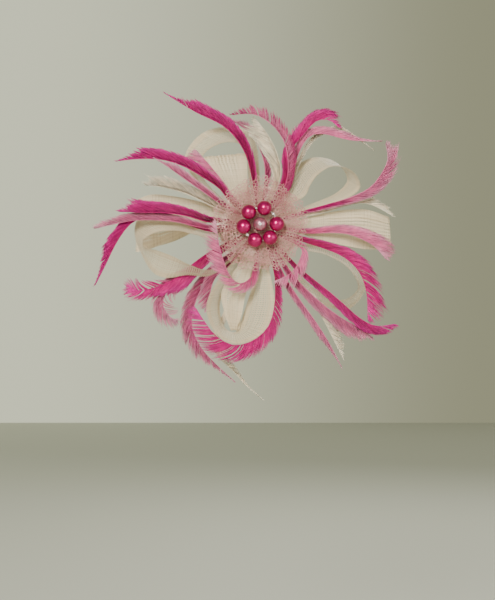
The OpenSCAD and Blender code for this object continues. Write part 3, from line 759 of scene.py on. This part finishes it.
def cloth_mesh(name, length, width):
    """The ribbon's cloth, with a folded hem along both edges."""
    bm = open_weave(length, width, THREAD_PITCH, THREAD_HALF)
    for low, step in ((0.0, HEM_STEP), (width - HEM, -HEM_STEP)):
        fold = to_mesh(open_weave(length, HEM, THREAD_PITCH, THREAD_HALF), "fold")
        at = co_of(fold)
        at[:, 0] = np.clip(at[:, 0] + THREAD_PITCH / 2, 0, length)
        at[:, 1] = np.clip(at[:, 1] + low + step, 0, width)
        at[:, 2] += HEM_LIFT
        set_co(fold, at)
        bm.from_mesh(fold)
        bpy.data.meshes.remove(fold)
    return to_mesh(bm, name)


def edge_route(first, last, out, points):
    """One edge of a loop, from the knot through its points and back."""
    start = GATHER_R - HELD
    ends = [anchor(start, angle, out) for angle in (first, last)]
    return smooth_route([ends[0]] + [place(p) for p in points] + [ends[1]], LOOP_STEPS)


def loop(name, first, last, front, back):
    """A ribbon loop between its front and back edges, which start and end in the knot."""
    front_route = edge_route(first, last, FRONT_END, front)
    back_route = edge_route(first, last, BACK_END, back)
    centre = (front_route + back_route) / 2
    marks, steps = marks_along(centre)
    length = float(marks[-1])
    spans = np.linalg.norm(front_route - back_route, axis=1)
    area = float(np.sum((spans[1:] + spans[:-1]) / 2 * steps))
    width = max(area / length, LEAST_WIDTH)

    cloth = cloth_mesh(name, length, width)
    flat = co_of(cloth)
    rng = np.random.default_rng(len(name) * 7 + first)
    x, y, z = flat.T
    bow = np.interp(y, np.linspace(0, width, 12), np.cumsum(rng.normal(0, 0.10, 12)))
    sway = np.interp(x, np.linspace(0, length, 60), rng.normal(0, 0.10, 60))
    inside = np.sin(np.pi * np.clip(y / width, 0, 1)) ** 0.5
    s = np.clip(x + bow, 0, length)
    v = np.clip(y / width + sway / width * inside, 0, 1)
    a, b = read_rows(s, marks, front_route), read_rows(s, marks, back_route)
    ahead = read_rows(s, marks, np.gradient(centre, marks, axis=0))
    normal = np.cross(b - a, ahead)
    normal /= np.linalg.norm(normal, axis=1, keepdims=True)
    crown = np.sin(np.pi * v) * 0.5 + rng.normal(0, 0.015, len(v))
    set_co(cloth, a + (b - a) * v[:, None] + normal * (z + crown)[:, None])
    paint_cloth(cloth, flat)
    made = piece(name + "_cloth", cloth, ribbon, [name])
    print(name, "cut", round(width, 1), "x", round(length, 1), "mm,", len(cloth.polygons), "faces")


# %% Ribbon loops
LOOPS = {
    "loop_top_left_tall": (148, 97, (
        (-21, 15, 6), (-32, 27, 6), (-32, 38, 9), (-27, 43, 11), (-19, 46, 12), (-11, 45, 12),
        (-7, 39, 12), (-6, 26, 11)), (
        (-22, 13, 1.5), (-37, 27, 0), (-42, 38, -1), (-38, 47, -1), (-29, 54, -1), (-14, 56, -1),
        (-3, 49, -1), (0, 28, 1.5))),
    "loop_top_left_front": (119, 110, (
        (-15, 16, 8), (-25, 27, 9), (-30, 35, 8), (-31, 38, 5.6), (-26, 34, 3.4), (-13, 18, 3.6)), (
        (-7, 17, 8), (-7, 28, 9.5), (-7.5, 37, 8), (-8, 40, 5.6), (-8, 35, 3.4), (-6, 18, 3.6))),
    "loop_top_right": (72, 33, (
        (16, 12, 9), (24.5, 16, 14), (27.5, 22, 17), (32, 28, 18), (39, 32, 18), (47, 31.5, 17),
        (53.5, 27, 15), (55, 20, 11), (46, 14, 7), (30, 9, 6)), (
        (9, 18, 1.5), (14, 27, 0), (19, 33, -1), (25, 37, -1), (32, 39, -1), (41, 37, -1),
        (47, 32, -1), (49, 25, 0), (42, 18, 1), (28, 12, 1.5))),
    "loop_left_front": (222, 187, (
        (-17, -19, 13), (-28, -25, 19), (-38, -22.5, 22), (-47, -18, 22), (-56, -14.5, 21),
        (-63.5, -12.5, 19), (-64, -8, 18), (-57, -4, 17), (-46, -3, 15), (-36, -5, 12),
        (-25, -7, 8)), (
        (-16, -19.5, 6), (-28, -28, 8), (-40, -27.5, 9), (-52, -29, 8), (-60, -25.5, 6),
        (-66, -16, 4), (-70, -5, 3), (-68, 4, 3), (-58, 7.5, 3.4), (-44, 6, 3.6), (-26, 0, 3.6))),
    "loop_left_back": (172, 163, (
        (-24, 10, 4), (-38, 15, -0.5), (-58, 18, -1), (-67, 16, -2), (-70, 14, -4), (-66, 13, -6),
        (-48, 13, -6), (-34, 11, -3), (-24, 9, 1.4)), (
        (-25, 4.5, 3.4), (-38, -2, -0.5), (-57, -11, -1), (-67, -14, -2), (-70, -14, -4),
        (-66, -13, -6), (-48, -8, -6), (-34, -1, -3), (-24.5, 4.5, 1.2))),
    "loop_bottom": (292, 245, (
        (5, -23, 9), (7, -34, 13), (8, -45, 17), (4, -57, 19), (-4, -63.5, 19), (-14, -65.5, 19),
        (-22, -62, 19), (-28, -53, 19), (-29, -42, 17), (-21, -27, 11)), (
        (1, -22, 4), (-4, -34, 3.4), (-8, -46, 3.2), (-10.5, -54, 3.2), (-12, -58, 3.4),
        (-15, -59.5, 4), (-19, -57.5, 4), (-22, -51, 4), (-22, -41, 4), (-15, -26, 4))),
    "loop_bottom_inner": (270, 262, (
        (-12, -22, 8), (-21, -36, 10), (-20, -47, 9.5), (-17, -56, 8.5), (-16, -58.5, 7),
        (-16.5, -56, 5.6), (-17, -44, 5.6), (-9, -22, 4.8)), (
        (-4, -22, 8), (-8, -38, 10), (-10, -49, 9.5), (-12.5, -56, 8.5), (-12.5, -58.5, 7),
        (-11, -56, 5.6), (-9.5, -44, 5.6), (-3, -22, 4.8))),
    "loop_lower_right": (326, 312, (
        (24, -13, 9), (36, -16, 14), (48, -23, 17), (54, -33, 17), (51, -39, 16), (44, -41.5, 15),
        (34, -38, 12), (22, -28, 9)), (
        (22, -9.5, 3), (36, -10, 1), (51, -16, -1), (60, -29, -1), (57, -40, -1), (48, -47, -1),
        (34, -43, 1), (19, -29, 3))),
    "loop_right": (3, 354, (
        (24, 4, 8), (42, 8, 9), (58, 9, 8), (69, 6, 5), (72, 5, 2), (68, 6, -1), (50, 6, -2),
        (27, 3, 1.6)), (
        (24, -5, 8), (42, -10, 9), (58, -13, 8), (70, -13, 5), (73, -12, 2), (69, -11, -1),
        (50, -8, -2), (27, -3.5, 1.6))),
}
for name, (first, last, front, back) in LOOPS.items():
    loop(name, first, last, front, back)

# %% [markdown]
# ## Net rosette
#
# The rosette is stiff net cut in rings, gathered in the middle and left to ruffle. Net has
# six-sided meshes about a millimetre wide. One six-sided face is made, copied into a row and
# the row into a field, and the doubles are merged. The field is cut to a ring, pushed into
# ruffles, and turned into strands with the wireframe operator. Two plies at different angles
# make each layer, which gives the uneven, half-closed look that net has where it is folded.


# %% Net material
def net_material():
    mat, tree, shader, output = new_material("fine net")
    coords = on_object(tree)
    tone = ramp(tree, noise(tree, coords, 120.0, 4.0), (0.3, (0.50, 0.18, 0.18)),
                (0.5, (0.64, 0.32, 0.29)), (0.7, (0.80, 0.54, 0.46)))
    set_sockets(tree, shader, Base_Color=tone, Roughness=0.45, Sheen_Weight=0.15)
    relief(tree, shader, noise(tree, coords, 3000.0, 2.0), 0.4, 0.0001)
    see_through(tree, output, shader, 0.15, tone)
    return mat


net = net_material()

# %% Net field and layers
MESH_SIDE, NET_THREAD = 1.15, 0.28
NET_OUT = GATHER_H + STEM_H + 1.4
LAYER_GAP, PLY_GAP = 1.8, 0.4
NET_HOLE_R, NET_R, NET_FRONT_R = 3.0, 26.5, 21.5


def repeat(bm, part, times, step, stagger=0.0):
    """Copies a part this many times to each side, every other one shifted along X."""
    for k in range(-times, times + 1):
        if k:
            twin = bmesh.ops.duplicate(bm, geom=part)["geom"]
            verts = [g for g in twin if isinstance(g, bmesh.types.BMVert)]
            shift = (k * step[0] + (k % 2) * stagger, k * step[1], 0)
            bmesh.ops.translate(bm, verts=verts, vec=shift)


def net_field(radius, side):
    """A flat field of six-sided meshes that covers a disc of this radius."""
    bm = bmesh.new()
    bmesh.ops.create_circle(bm, cap_ends=True, segments=6, radius=side)
    wide, high = math.sqrt(3) * side, 1.5 * side
    repeat(bm, whole(bm), int(radius / wide) + 1, (wide, 0))
    repeat(bm, whole(bm), int(radius / high) + 1, (0, high), stagger=wide / 2)
    bmesh.ops.remove_doubles(bm, verts=bm.verts, dist=side * 0.05)
    return bm


def net_layer(name, outer, out, ruffles, turn, seed):
    """A ruffled, cupped ring of net, cut as two plies that lie together."""
    rng = np.random.default_rng(seed)
    both = bmesh.new()
    for ply in range(2):
        bm = net_field(outer + 1, MESH_SIDE)
        far = [f for f in bm.faces
               if not NET_HOLE_R < f.calc_center_median().length < outer * rng.uniform(0.94, 1.0)]
        bmesh.ops.delete(bm, geom=far, context="FACES")
        flat = to_mesh(bm, "ply")
        co = co_of(flat)
        co[:, :2] += rng.normal(0, 0.2, (len(co), 2))
        tilt = math.radians(11 + 37 * ply + turn)
        x = co[:, 0] * math.cos(tilt) - co[:, 1] * math.sin(tilt)
        z = co[:, 0] * math.sin(tilt) + co[:, 1] * math.cos(tilt)
        r, a = np.hypot(x, z), np.arctan2(z, x)
        u = np.clip((r - NET_HOLE_R) / (outer - NET_HOLE_R), 0, 1.05)
        edge = 0.96 + 0.04 * np.sin(5 * a + 2 * math.radians(turn) + ply)
        wave = np.sin(ruffles * a + math.radians(turn) + 2 * u + 0.4 * ply)
        small = np.sin((2 * ruffles + 3) * a + 4 * u + 0.8 * ply)
        lift = out + u ** 2 * 2.5 + np.sqrt(u) * (1.1 * wave + 0.55 * small) + ply * PLY_GAP
        r = NET_HOLE_R + (r - NET_HOLE_R) * edge
        a = a + 0.10 * np.sin(3 * a + turn) * u + 0.05 * np.sin(ruffles * a) * (1 - u)
        set_co(flat, np.stack([r * np.cos(a), FRONT_Y - lift, r * np.sin(a)], axis=-1))
        both.from_mesh(flat)
        bpy.data.meshes.remove(flat)
    bmesh.ops.wireframe(
        both, faces=both.faces, thickness=NET_THREAD, offset=0, use_replace=True,
        use_boundary=True, use_even_offset=True,
    )
    mesh = finished_mesh(both, name)
    made = piece(name + "_mesh", mesh, net, [name])
    print(name, len(mesh.polygons), "faces")


net_layer("net_back_layer", NET_R, NET_OUT, 11, 0, 5)
net_layer("net_front_layer", NET_FRONT_R, NET_OUT + LAYER_GAP, 9, 40, 8)

# %% [markdown]
# ## Pearl flower
#
# Six glass pearls are threaded on a ring of fine wire round a seventh in the middle. A pearl
# is a ball with a hole through it, slightly dimpled at the hole's mouths. The ball is lathed
# rather than taken as a ready sphere, because a lathe gives the dimple and the bore in one
# closed skin. The coating is a deep metallic colour under a clear gloss, and its colour is
# painted darker where it is seen on edge, as painted shade.


# %% Pearl material
def pearl_material(name, deep, body, edge_shade):
    mat, tree, shader, output = new_material(name)
    edge = add(tree, "ShaderNodeLayerWeight", Blend=0.2)
    coords = on_object(tree)
    base = ramp(tree, noise(tree, coords, 420.0, 4.0), (0.35, deep), (0.65, body))
    # Painted shade: the colour turns to the darker last colour where the pearl is seen on edge.
    colour = mix_colour(tree, edge.outputs["Facing"], base, edge_shade)
    set_sockets(tree, shader, Base_Color=colour, Metallic=0.8, Roughness=0.34, Coat_Weight=0.4,
           Coat_Roughness=0.08)
    relief(tree, shader, noise(tree, coords, 900.0, 2.0), 0.08, 0.0001)
    return mat


# The last colour of each pearl is the painted shade at its edge.
pearl_fuchsia = pearl_material(
    "fuchsia pearl", (0.34, 0.0, 0.075), (0.44, 0.0, 0.12), (0.30, 0.0, 0.07))
pearl_mauve = pearl_material(
    "mauve pearl", (0.36, 0.13, 0.18), (0.46, 0.19, 0.25), (0.34, 0.11, 0.16))

# %% Pearls
PEARL_ANGLES = (1, 75, 133, 188, 252, 306.5)
PEARL_D, CENTRE_D, SPACER_D = 8.2, 7.9, 1.5
PEARL_OUT = NET_OUT + LAYER_GAP + 2.2 + PEARL_D / 2
SPACER_STEP, BEAD_GAP = 31.6, 0.08  # degrees and millimetres from a pearl to a spacer bead
RING_R = (PEARL_D / 2 + SPACER_D / 2 + BEAD_GAP) / (2 * math.sin(math.radians(SPACER_STEP / 2)))
BORE_R, BORE_MOUTH, DIMPLE = 0.35, 1.25, 0.12
PEARL_STEPS, PEARL_SIDES = 18, 36


def closed_outline(bm, points):
    """A closed outline through these points, ready to spin."""
    verts = [bm.verts.new(point) for point in points]
    return verts + [bm.edges.new(pair) for pair in zip(verts, verts[1:] + verts[:1])]


def lathed_pearl(bm, diameter, axis, centre):
    """A pearl with a bore along axis, lathed as one closed skin."""
    r = diameter / 2
    low = math.asin(BORE_R * BORE_MOUTH / r)
    turns = [low + (math.pi - 2 * low) * i / PEARL_STEPS for i in range(PEARL_STEPS + 1)]
    ball = [(r * math.sin(turn), 0, r * math.cos(turn)) for turn in turns]
    mouth = ball[0][2] - DIMPLE
    others = set(bm.verts)
    outline = closed_outline(
        bm, [(BORE_R, 0, mouth)] + ball + [(BORE_R, 0, -mouth), (BORE_R, 0, 0)])
    bmesh.ops.spin(bm, geom=outline, cent=(0, 0, 0), axis=(0, 0, 1), angle=2 * math.pi,
                   steps=PEARL_SIDES, use_merge=True, use_duplicate=False)
    new = [v for v in bm.verts if v not in others]
    turn = Vector((0, 0, 1)).rotation_difference(Vector(axis)).to_matrix()
    bmesh.ops.rotate(bm, verts=new, cent=(0, 0, 0), matrix=turn)
    bmesh.ops.translate(bm, verts=new, vec=centre)


bm = bmesh.new()
for angle in PEARL_ANGLES:
    c, s = math.cos(math.radians(angle)), math.sin(math.radians(angle))
    lathed_pearl(bm, PEARL_D, (-s, 0, c), (RING_R * c, FRONT_Y - PEARL_OUT, RING_R * s))
ring = finished_mesh(bm, "ring_pearls")
made = piece("ring_pearls", ring, pearl_fuchsia, ["pearl_ring"])
print("pearls:", len(made.data.polygons), "faces")

bm = bmesh.new()
lathed_pearl(bm, CENTRE_D, (0, 1, 0), (0, FRONT_Y - PEARL_OUT, 0))
middle = finished_mesh(bm, "middle_pearl")
piece("middle_pearl", middle, pearl_mauve, ["centre_pearl"])

# %% [markdown]
# ## Wire, spacer beads and steel
#
# The beading wire, its headed pin, the two spacer beads and the clip's rigid pieces already
# have the right shape in the frame, so they stay and only get a finish. Plated steel is a
# metal with a fine brushed grain and faint smudges; the seed beads are clear white glass.


# %% Finishes for the frame's own pieces
def steel_material(name, tone, grain):
    mat, tree, shader, output = new_material(name)
    coords = on_object(tree)
    stretch = add(tree, "ShaderNodeMapping", Vector=coords, Scale=(60.0, 900.0, 900.0))
    brushed = noise(tree, stretch.outputs[0], grain, 4.0)
    smudge = noise(tree, coords, 160.0, 3.0)
    light = ramp(tree, brushed, (0.3, tuple(c * 0.82 for c in tone)), (0.7, tone))
    worn = ramp(tree, smudge, (0.3, (0.86, 0.85, 0.83)), (0.7, grey(1)))
    set_sockets(tree, shader, Base_Color=mix_colour(tree, 1.0, light, worn, "MULTIPLY"),
           Roughness=ramp(tree, smudge, (0.3, grey(0.36)), (0.7, grey(0.22))), Metallic=1.0)
    relief(tree, shader, brushed, 0.15, 0.0001)
    return mat


def dress(node, material):
    """Gives a kept CAD piece its finish."""
    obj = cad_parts[node]
    obj.data.materials.clear()
    obj.data.materials.append(material)


steel = steel_material("plated steel", (0.62, 0.62, 0.60), 1.0)
wire = steel_material("beading wire", (0.78, 0.76, 0.72), 3.0)
for node in ("clip_top_arm", "clip_lower_arm", "clip_hinge_pin"):
    dress(node, steel)
for node in ("pearl_wire", "centre_pin"):
    dress(node, wire)

seed_bead, tree, shader, _ = new_material("clear seed bead")
haze = noise(tree, on_object(tree), 900.0, 2.0)
milk = ramp(tree, haze, (0.3, (0.80, 0.80, 0.78)), (0.7, (0.95, 0.95, 0.93)))
set_sockets(tree, shader, Base_Color=milk, Roughness=0.08, Coat_Weight=1.0, Transmission_Weight=0.4)
dress("spacer_beads", seed_bead)

# %% [markdown]
# ## The wound spring
#
# In the frame the clip's spring is a plain tube with one leg. The real one is a wire wound
# round the hinge pin, with one leg under each arm. A small circle is spun round the pin with
# a step along it on every turn, and the two legs are short rods. The last turn and the leg
# under the lower arm ride with that arm, so nothing crosses when the clip opens.

# %% Spring
HINGE_X, HINGE_Y = 14.0, 0.4
SPRING_WIRE, WIRE_SIDES = 0.6, 10
COIL_R = 0.8 + 0.15 + SPRING_WIRE / 2
COIL_LEN = 4.0
TURNS, TURN_STEPS = 4, 28
LAST_TURN = SPRING_WIRE + 0.06
SPRING_X = HINGE_X + COIL_R
COIL_LOW, COIL_HIGH = SPRING_WIRE / 2 - COIL_LEN / 2, COIL_LEN / 2 - SPRING_WIRE / 2


def rod_between(bm, a, b, radius, sides):
    """A round wire with closed ends, from a to b."""
    a, b = Vector(a), Vector(b)
    way = b - a
    verts = bmesh.ops.create_cone(bm, cap_ends=True, segments=sides, radius1=radius,
                                  radius2=radius, depth=way.length)["verts"]
    turn = Vector((0, 0, 1)).rotation_difference(way.normalized()).to_matrix()
    bmesh.ops.rotate(bm, verts=verts, cent=(0, 0, 0), matrix=turn)
    bmesh.ops.translate(bm, verts=verts, vec=(a + b) / 2)


def wound_wire(start, angle, steps, rise, legs):
    """A coil round the hinge pin from the height start, and straight legs of wire."""
    bm = bmesh.new()
    bmesh.ops.create_circle(bm, cap_ends=True, segments=WIRE_SIDES, radius=SPRING_WIRE / 2)
    tip_forward(bm, bm.verts)
    bmesh.ops.translate(bm, verts=bm.verts, vec=(SPRING_X, HINGE_Y, start))
    bmesh.ops.spin(bm, geom=whole(bm), cent=(HINGE_X, HINGE_Y, 0), axis=(0, 0, 1), angle=angle,
                   steps=steps, dvec=(0, 0, rise), use_merge=False)
    for a, b in legs:
        rod_between(bm, (*a, start), (*b, start), SPRING_WIRE / 2, WIRE_SIDES)
    return bm


coil_steps = TURNS * TURN_STEPS
coil = wound_wire(
    COIL_LOW, TURNS * 2 * math.pi, coil_steps, (COIL_LEN - SPRING_WIRE - LAST_TURN) / coil_steps,
    [((SPRING_X, HINGE_Y), (SPRING_X + 0.2, -1.9)),
     ((SPRING_X + 0.1, -1.98), (HINGE_X + 8, -1.98))])
coil_mesh = finished_mesh(coil, "clip_spring_coil")
piece("clip_spring_coil", coil_mesh, steel, ["clip_spring"])

leg = wound_wire(
    COIL_HIGH, math.radians(-320), TURN_STEPS, 0,
    [((SPRING_X - 0.1, HINGE_Y + 0.2), (SPRING_X + 0.4, 1.95)),
     ((SPRING_X + 0.3, 1.9), (HINGE_X + 9.0, 4.7))])
leg_mesh = finished_mesh(leg, "clip_spring_leg")
piece("clip_spring_leg", leg_mesh, steel, body="clip_lower_arm")

# %% [markdown]
# ## Knots
#
# The ribbon ends are pleated together and stitched down, and over them the feather stems are
# wound with thread. Both are hidden from the front by the net, but show from the side. The
# pleats are a round post with its side pushed in and out between its ribs. The winding is a
# thread spun round the stems with a small step, turn beside turn.


# %% Thread and cloth finishes
def thread_material(name, dark, pale, scale):
    mat, tree, shader, output = new_material(name)
    fibres = noise(tree, on_object(tree), scale, 5.0)
    set_sockets(tree, shader, Base_Color=ramp(tree, fibres, (0.3, dark), (0.7, pale)),
           Roughness=0.75, Sheen_Weight=0.3)
    relief(tree, shader, fibres, 0.5, 0.0002)
    return mat


thread = thread_material("cotton thread", (0.70, 0.64, 0.50), (0.86, 0.81, 0.68), 1500.0)

# %% Thread winding round the stems
THREAD_R = 0.3
WRAPS, WRAP_STEPS = 10, 48
CORE_R = STEM_R - THREAD_R
bm = bmesh.new()
bmesh.ops.create_circle(bm, cap_ends=True, segments=6, radius=THREAD_R)
bmesh.ops.translate(bm, verts=bm.verts, vec=(CORE_R, FRONT_Y - GATHER_H - THREAD_R, 0))
wrap_steps = WRAPS * WRAP_STEPS
bmesh.ops.spin(bm, geom=whole(bm), cent=(0, 0, 0), axis=(0, 1, 0), angle=WRAPS * 2 * math.pi,
               steps=wrap_steps, dvec=(0, -(STEM_H - 2 * THREAD_R) / wrap_steps, 0),
               use_merge=False)
core = bmesh.ops.create_cone(bm, cap_ends=True, segments=48, radius1=CORE_R, radius2=CORE_R,
                             depth=STEM_H - 0.2)["verts"]
tip_forward(bm, core)
bmesh.ops.translate(bm, verts=core, vec=(0, FRONT_Y - GATHER_H - STEM_H / 2, 0))
piece("stem_winding", finished_mesh(bm, "stem_winding"), thread, ["stem_binding"])

# %% Pleated ribbon ends
PLEATS, PLEAT_SIDES, KNOT_ROWS = 26, 6, 8
PLEAT_DEPTH, WAIST = 0.075, 0.05
bm = bmesh.new()
bmesh.ops.create_cone(bm, cap_ends=True, segments=PLEATS * PLEAT_SIDES, radius1=GATHER_R,
                      radius2=GATHER_R, depth=GATHER_H)
for k in range(1, KNOT_ROWS):
    bmesh.ops.bisect_plane(
        bm, geom=whole(bm), plane_co=(0, 0, -GATHER_H / 2 + GATHER_H * k / KNOT_ROWS),
        plane_no=(0, 0, 1), dist=1e-5)
tip_forward(bm, bm.verts)
knot = to_mesh(bm, "ribbon_gather")
co = co_of(knot)
a = np.arctan2(co[:, 2], co[:, 0])
h = co[:, 1] / GATHER_H + 0.5
fold = 0.5 + 0.5 * np.sin(PLEATS * a + 1.6 * np.sin(3 * a) + 0.8 * h)
shrink = 1 - PLEAT_DEPTH * fold - WAIST * np.sin(np.pi * h)
co[:, 0] *= shrink
co[:, 2] *= shrink
co[:, 1] += FRONT_Y - GATHER_H / 2
paint_cloth(knot, np.stack([a * GATHER_R, h * GATHER_H, np.zeros_like(a)], axis=-1))
set_co(knot, co)
piece("pleated_ends", knot, ribbon, ["ribbon_gather"])

# %% [markdown]
# ## Base disc, binding and felt
#
# The disc is buckram covered with the same ivory cloth, bound round its edge with a narrow
# bias tape, and backed with felt that the clip is sewn to. The cover is a disc with rounded
# rims, the tape is a band lathed round the edge, and the felt has a soft, uneven edge.


# %% Base finishes
def woven_material(name, dark, pale, threads, strength):
    """A plain weave from two crossed wave patterns."""
    mat, tree, shader, output = new_material(name)
    coords = on_object(tree)
    waves = []
    for direction in ("X", "Z"):
        wave = add(tree, "ShaderNodeTexWave", Vector=coords, Scale=threads, Distortion=1.2,
                   Detail=2.0)
        wave.bands_direction = direction
        waves.append(wave.outputs[1])
    both = calculate(tree, "ADD", *waves)
    height = calculate(tree, "MULTIPLY", both, 0.5)
    set_sockets(tree, shader, Base_Color=ramp(tree, height, (0.2, dark), (0.75, pale)),
           Roughness=0.7, Sheen_Weight=0.2)
    relief(tree, shader, height, strength, 0.0002)
    return mat


cover = woven_material("disc cover", (0.60, 0.52, 0.36), (0.80, 0.74, 0.58), 420.0, 0.6)
tape = woven_material("bias tape", (0.66, 0.58, 0.42), (0.84, 0.78, 0.63), 700.0, 0.4)
felt = thread_material("wool felt", (0.66, 0.60, 0.47), (0.80, 0.75, 0.62), 700.0)

# %% The covered disc
BASE_R, BASE_T, FELT_T = 22.5, 2.0, 1.2
DISC_Y = FRONT_Y + BASE_T
LAP, TAPE_T = 1.5, 0.3
FELT_R = BASE_R - LAP - 0.4
COVER_RINGS = 5


def rounded_disc(radius, thickness, middle, round_off, sides, rings=0):
    """A disc across Y with rounded rims, and rings cut in its faces where they are wanted."""
    bm = bmesh.new()
    bmesh.ops.create_cone(bm, cap_ends=True, segments=sides, radius1=radius, radius2=radius,
                          depth=thickness)
    rims = [e for e in bm.edges
            if all(abs(abs(v.co.z) - thickness / 2) < 1e-6 for v in e.verts)]
    bmesh.ops.bevel(bm, geom=rims, offset=round_off, segments=3, profile=0.5, affect="EDGES",
                    material=-1)
    caps = [f for f in bm.faces if len(f.verts) > 10]
    for _ in range(rings):
        bmesh.ops.inset_region(bm, faces=caps, thickness=BASE_R / 6.5, use_even_offset=True)
    tip_forward(bm, bm.verts)
    bmesh.ops.translate(bm, verts=bm.verts, vec=(0, middle, 0))
    return bm


disc = rounded_disc(BASE_R - 0.02, BASE_T, FRONT_Y + BASE_T / 2, 0.3, 96, COVER_RINGS)
piece("disc_cover", finished_mesh(disc, "disc_cover"), cover, ["base_disc"])

# %% The tape, lathed from its section
front, rear = FRONT_Y - TAPE_T, DISC_Y + TAPE_T
bulge = BASE_R + TAPE_T
section = [
    (BASE_R - LAP, FRONT_Y), (BASE_R - LAP, front + 0.06), (BASE_R - LAP + 0.08, front),
    (BASE_R - 0.3, front), (bulge - 0.08, front + 0.2), (bulge + 0.05, FRONT_Y + BASE_T / 2),
    (bulge - 0.08, rear - 0.2), (BASE_R - 0.3, rear), (BASE_R - LAP + 0.08, rear),
    (BASE_R - LAP, rear - 0.06), (BASE_R - LAP, DISC_Y), (BASE_R, DISC_Y), (BASE_R, FRONT_Y),
]
bm = bmesh.new()
bmesh.ops.spin(bm, geom=closed_outline(bm, [(r, y, 0) for r, y in section]), cent=(0, 0, 0),
               axis=(0, 1, 0), angle=2 * math.pi, steps=120, use_merge=True)
bmesh.ops.remove_doubles(bm, verts=bm.verts, dist=1e-4)
binding = finished_mesh(bm, "base_edge_binding")
piece("bias_tape", binding, tape, ["base_edge_binding"])

# %% The felt, with its uneven edge
blank = rounded_disc(FELT_R, FELT_T, DISC_Y + FELT_T / 2, 0.35, 120)
backing = finished_mesh(blank, "felt_backing")
co = co_of(backing)
a = np.arctan2(co[:, 2], co[:, 0])
uneven = 1 - 0.006 * (1 + np.sin(17 * a + np.sin(5 * a)))
co[:, 0] *= uneven
co[:, 2] *= uneven
set_co(backing, co)
piece("wool_felt", backing, felt, ["felt_backing"])

# %% [markdown]
# ## Stitches
#
# Thread holds the clip to the felt, and a row of whip stitches holds the felt to the disc.
# Each clip stitch is a few strands laid side by side over the arm; each whip stitch is one
# short slanted strand. They are small rods, so a row of them costs little.

# %% Stitches
ARM_W, SHEET_T, ARM_GAP = 8.0, 0.8, 2.3
FELT_Y = -ARM_GAP - SHEET_T
TIP_X = HINGE_X - 40.0
STITCH_FIRST, STITCH_EVERY, STRANDS, STRAND_STEP, STRAND_R = 18, 9, 3, 0.27, 0.15
WHIPS, WHIP_R, WHIP_LEAN = 52, 0.14, 0.06

bm = bmesh.new()
top, edge, sewn = -ARM_GAP + 0.14, ARM_W / 2 + 0.14, FELT_Y + 0.1
for i in (-1, 0, 1):
    for strand in range(STRANDS):
        x = TIP_X + STITCH_FIRST + i * STITCH_EVERY + 0.13 + strand * STRAND_STEP
        lean = x + 0.12 * (strand - 1)
        rod_between(bm, (x, top, -edge), (lean, top, edge), STRAND_R, 8)
        rod_between(bm, (x, top + 0.05, -edge), (x, sewn, -edge), STRAND_R, 8)
        rod_between(bm, (lean, top + 0.05, edge), (lean, sewn, edge), STRAND_R, 8)
piece("clip_threads", finished_mesh(bm, "clip_threads"), thread, ["clip_stitches"])

bm = bmesh.new()
inner, outer = FELT_R - 1.1, FELT_R + 0.45
for k in range(WHIPS):
    turn = 2 * math.pi * k / WHIPS
    lean = turn + WHIP_LEAN
    rod_between(bm, (inner * math.cos(turn), FELT_Y + 0.02, inner * math.sin(turn)),
                (outer * math.cos(lean), DISC_Y + 0.28, outer * math.sin(lean)), WHIP_R, 6)
piece("felt_whip_stitches", finished_mesh(bm, "felt_whip_stitches"), thread)

# %% [markdown]
# ## Floor and wall
#
# These two only stage the headpiece. The wall is a plain sheet that glows, with painted light
# that is bright on the left and dims to the right, so that its tone doesn't hang on the lamps.
# The floor is a wide board below the piece that throws some light back up, and its far edge
# shows low on the wall.


# %% Floor and wall
def stage_sheet(name, size, material, upright=False, middle=(0, 0, 0)):
    """A flat square that belongs to the set."""
    bm = bmesh.new()
    bmesh.ops.create_grid(bm, x_segments=1, y_segments=1, size=size / 2)
    if upright:
        tip_forward(bm, bm.verts)
    bmesh.ops.translate(bm, verts=bm.verts, vec=middle)
    mesh = to_mesh(bm, name)
    mesh.materials.append(material)
    sheet = bpy.data.objects.new(name, mesh)
    bpy.context.scene.collection.objects.link(sheet)


board, tree, shader, _ = new_material("pale board")
set_sockets(tree, shader, Base_Color=(0.62, 0.63, 0.54), Roughness=0.8)
stage_sheet("floor", 8, board, middle=(0, -1.35, -0.33))

wall_painted_light, tree, _, output = new_material("pale wall")
# The wall's glow is painted light: bright on the left, dimming to the right.
sides = add(tree, "ShaderNodeSeparateXYZ", Vector=on_object(tree))
spread = add(tree, "ShaderNodeMapRange", Value=sides.outputs[0], From_Min=-0.6, From_Max=0.6)
tone = ramp(tree, spread.outputs[0], (0.0, (0.80, 0.82, 0.60)), (1.0, (0.31, 0.31, 0.20)))
glow = add(tree, "ShaderNodeEmission", Color=tone)
tree.links.new(glow.outputs[0], output.inputs["Surface"])
stage_sheet("wall", 5, wall_painted_light, upright=True, middle=(0, 2.6, 0))
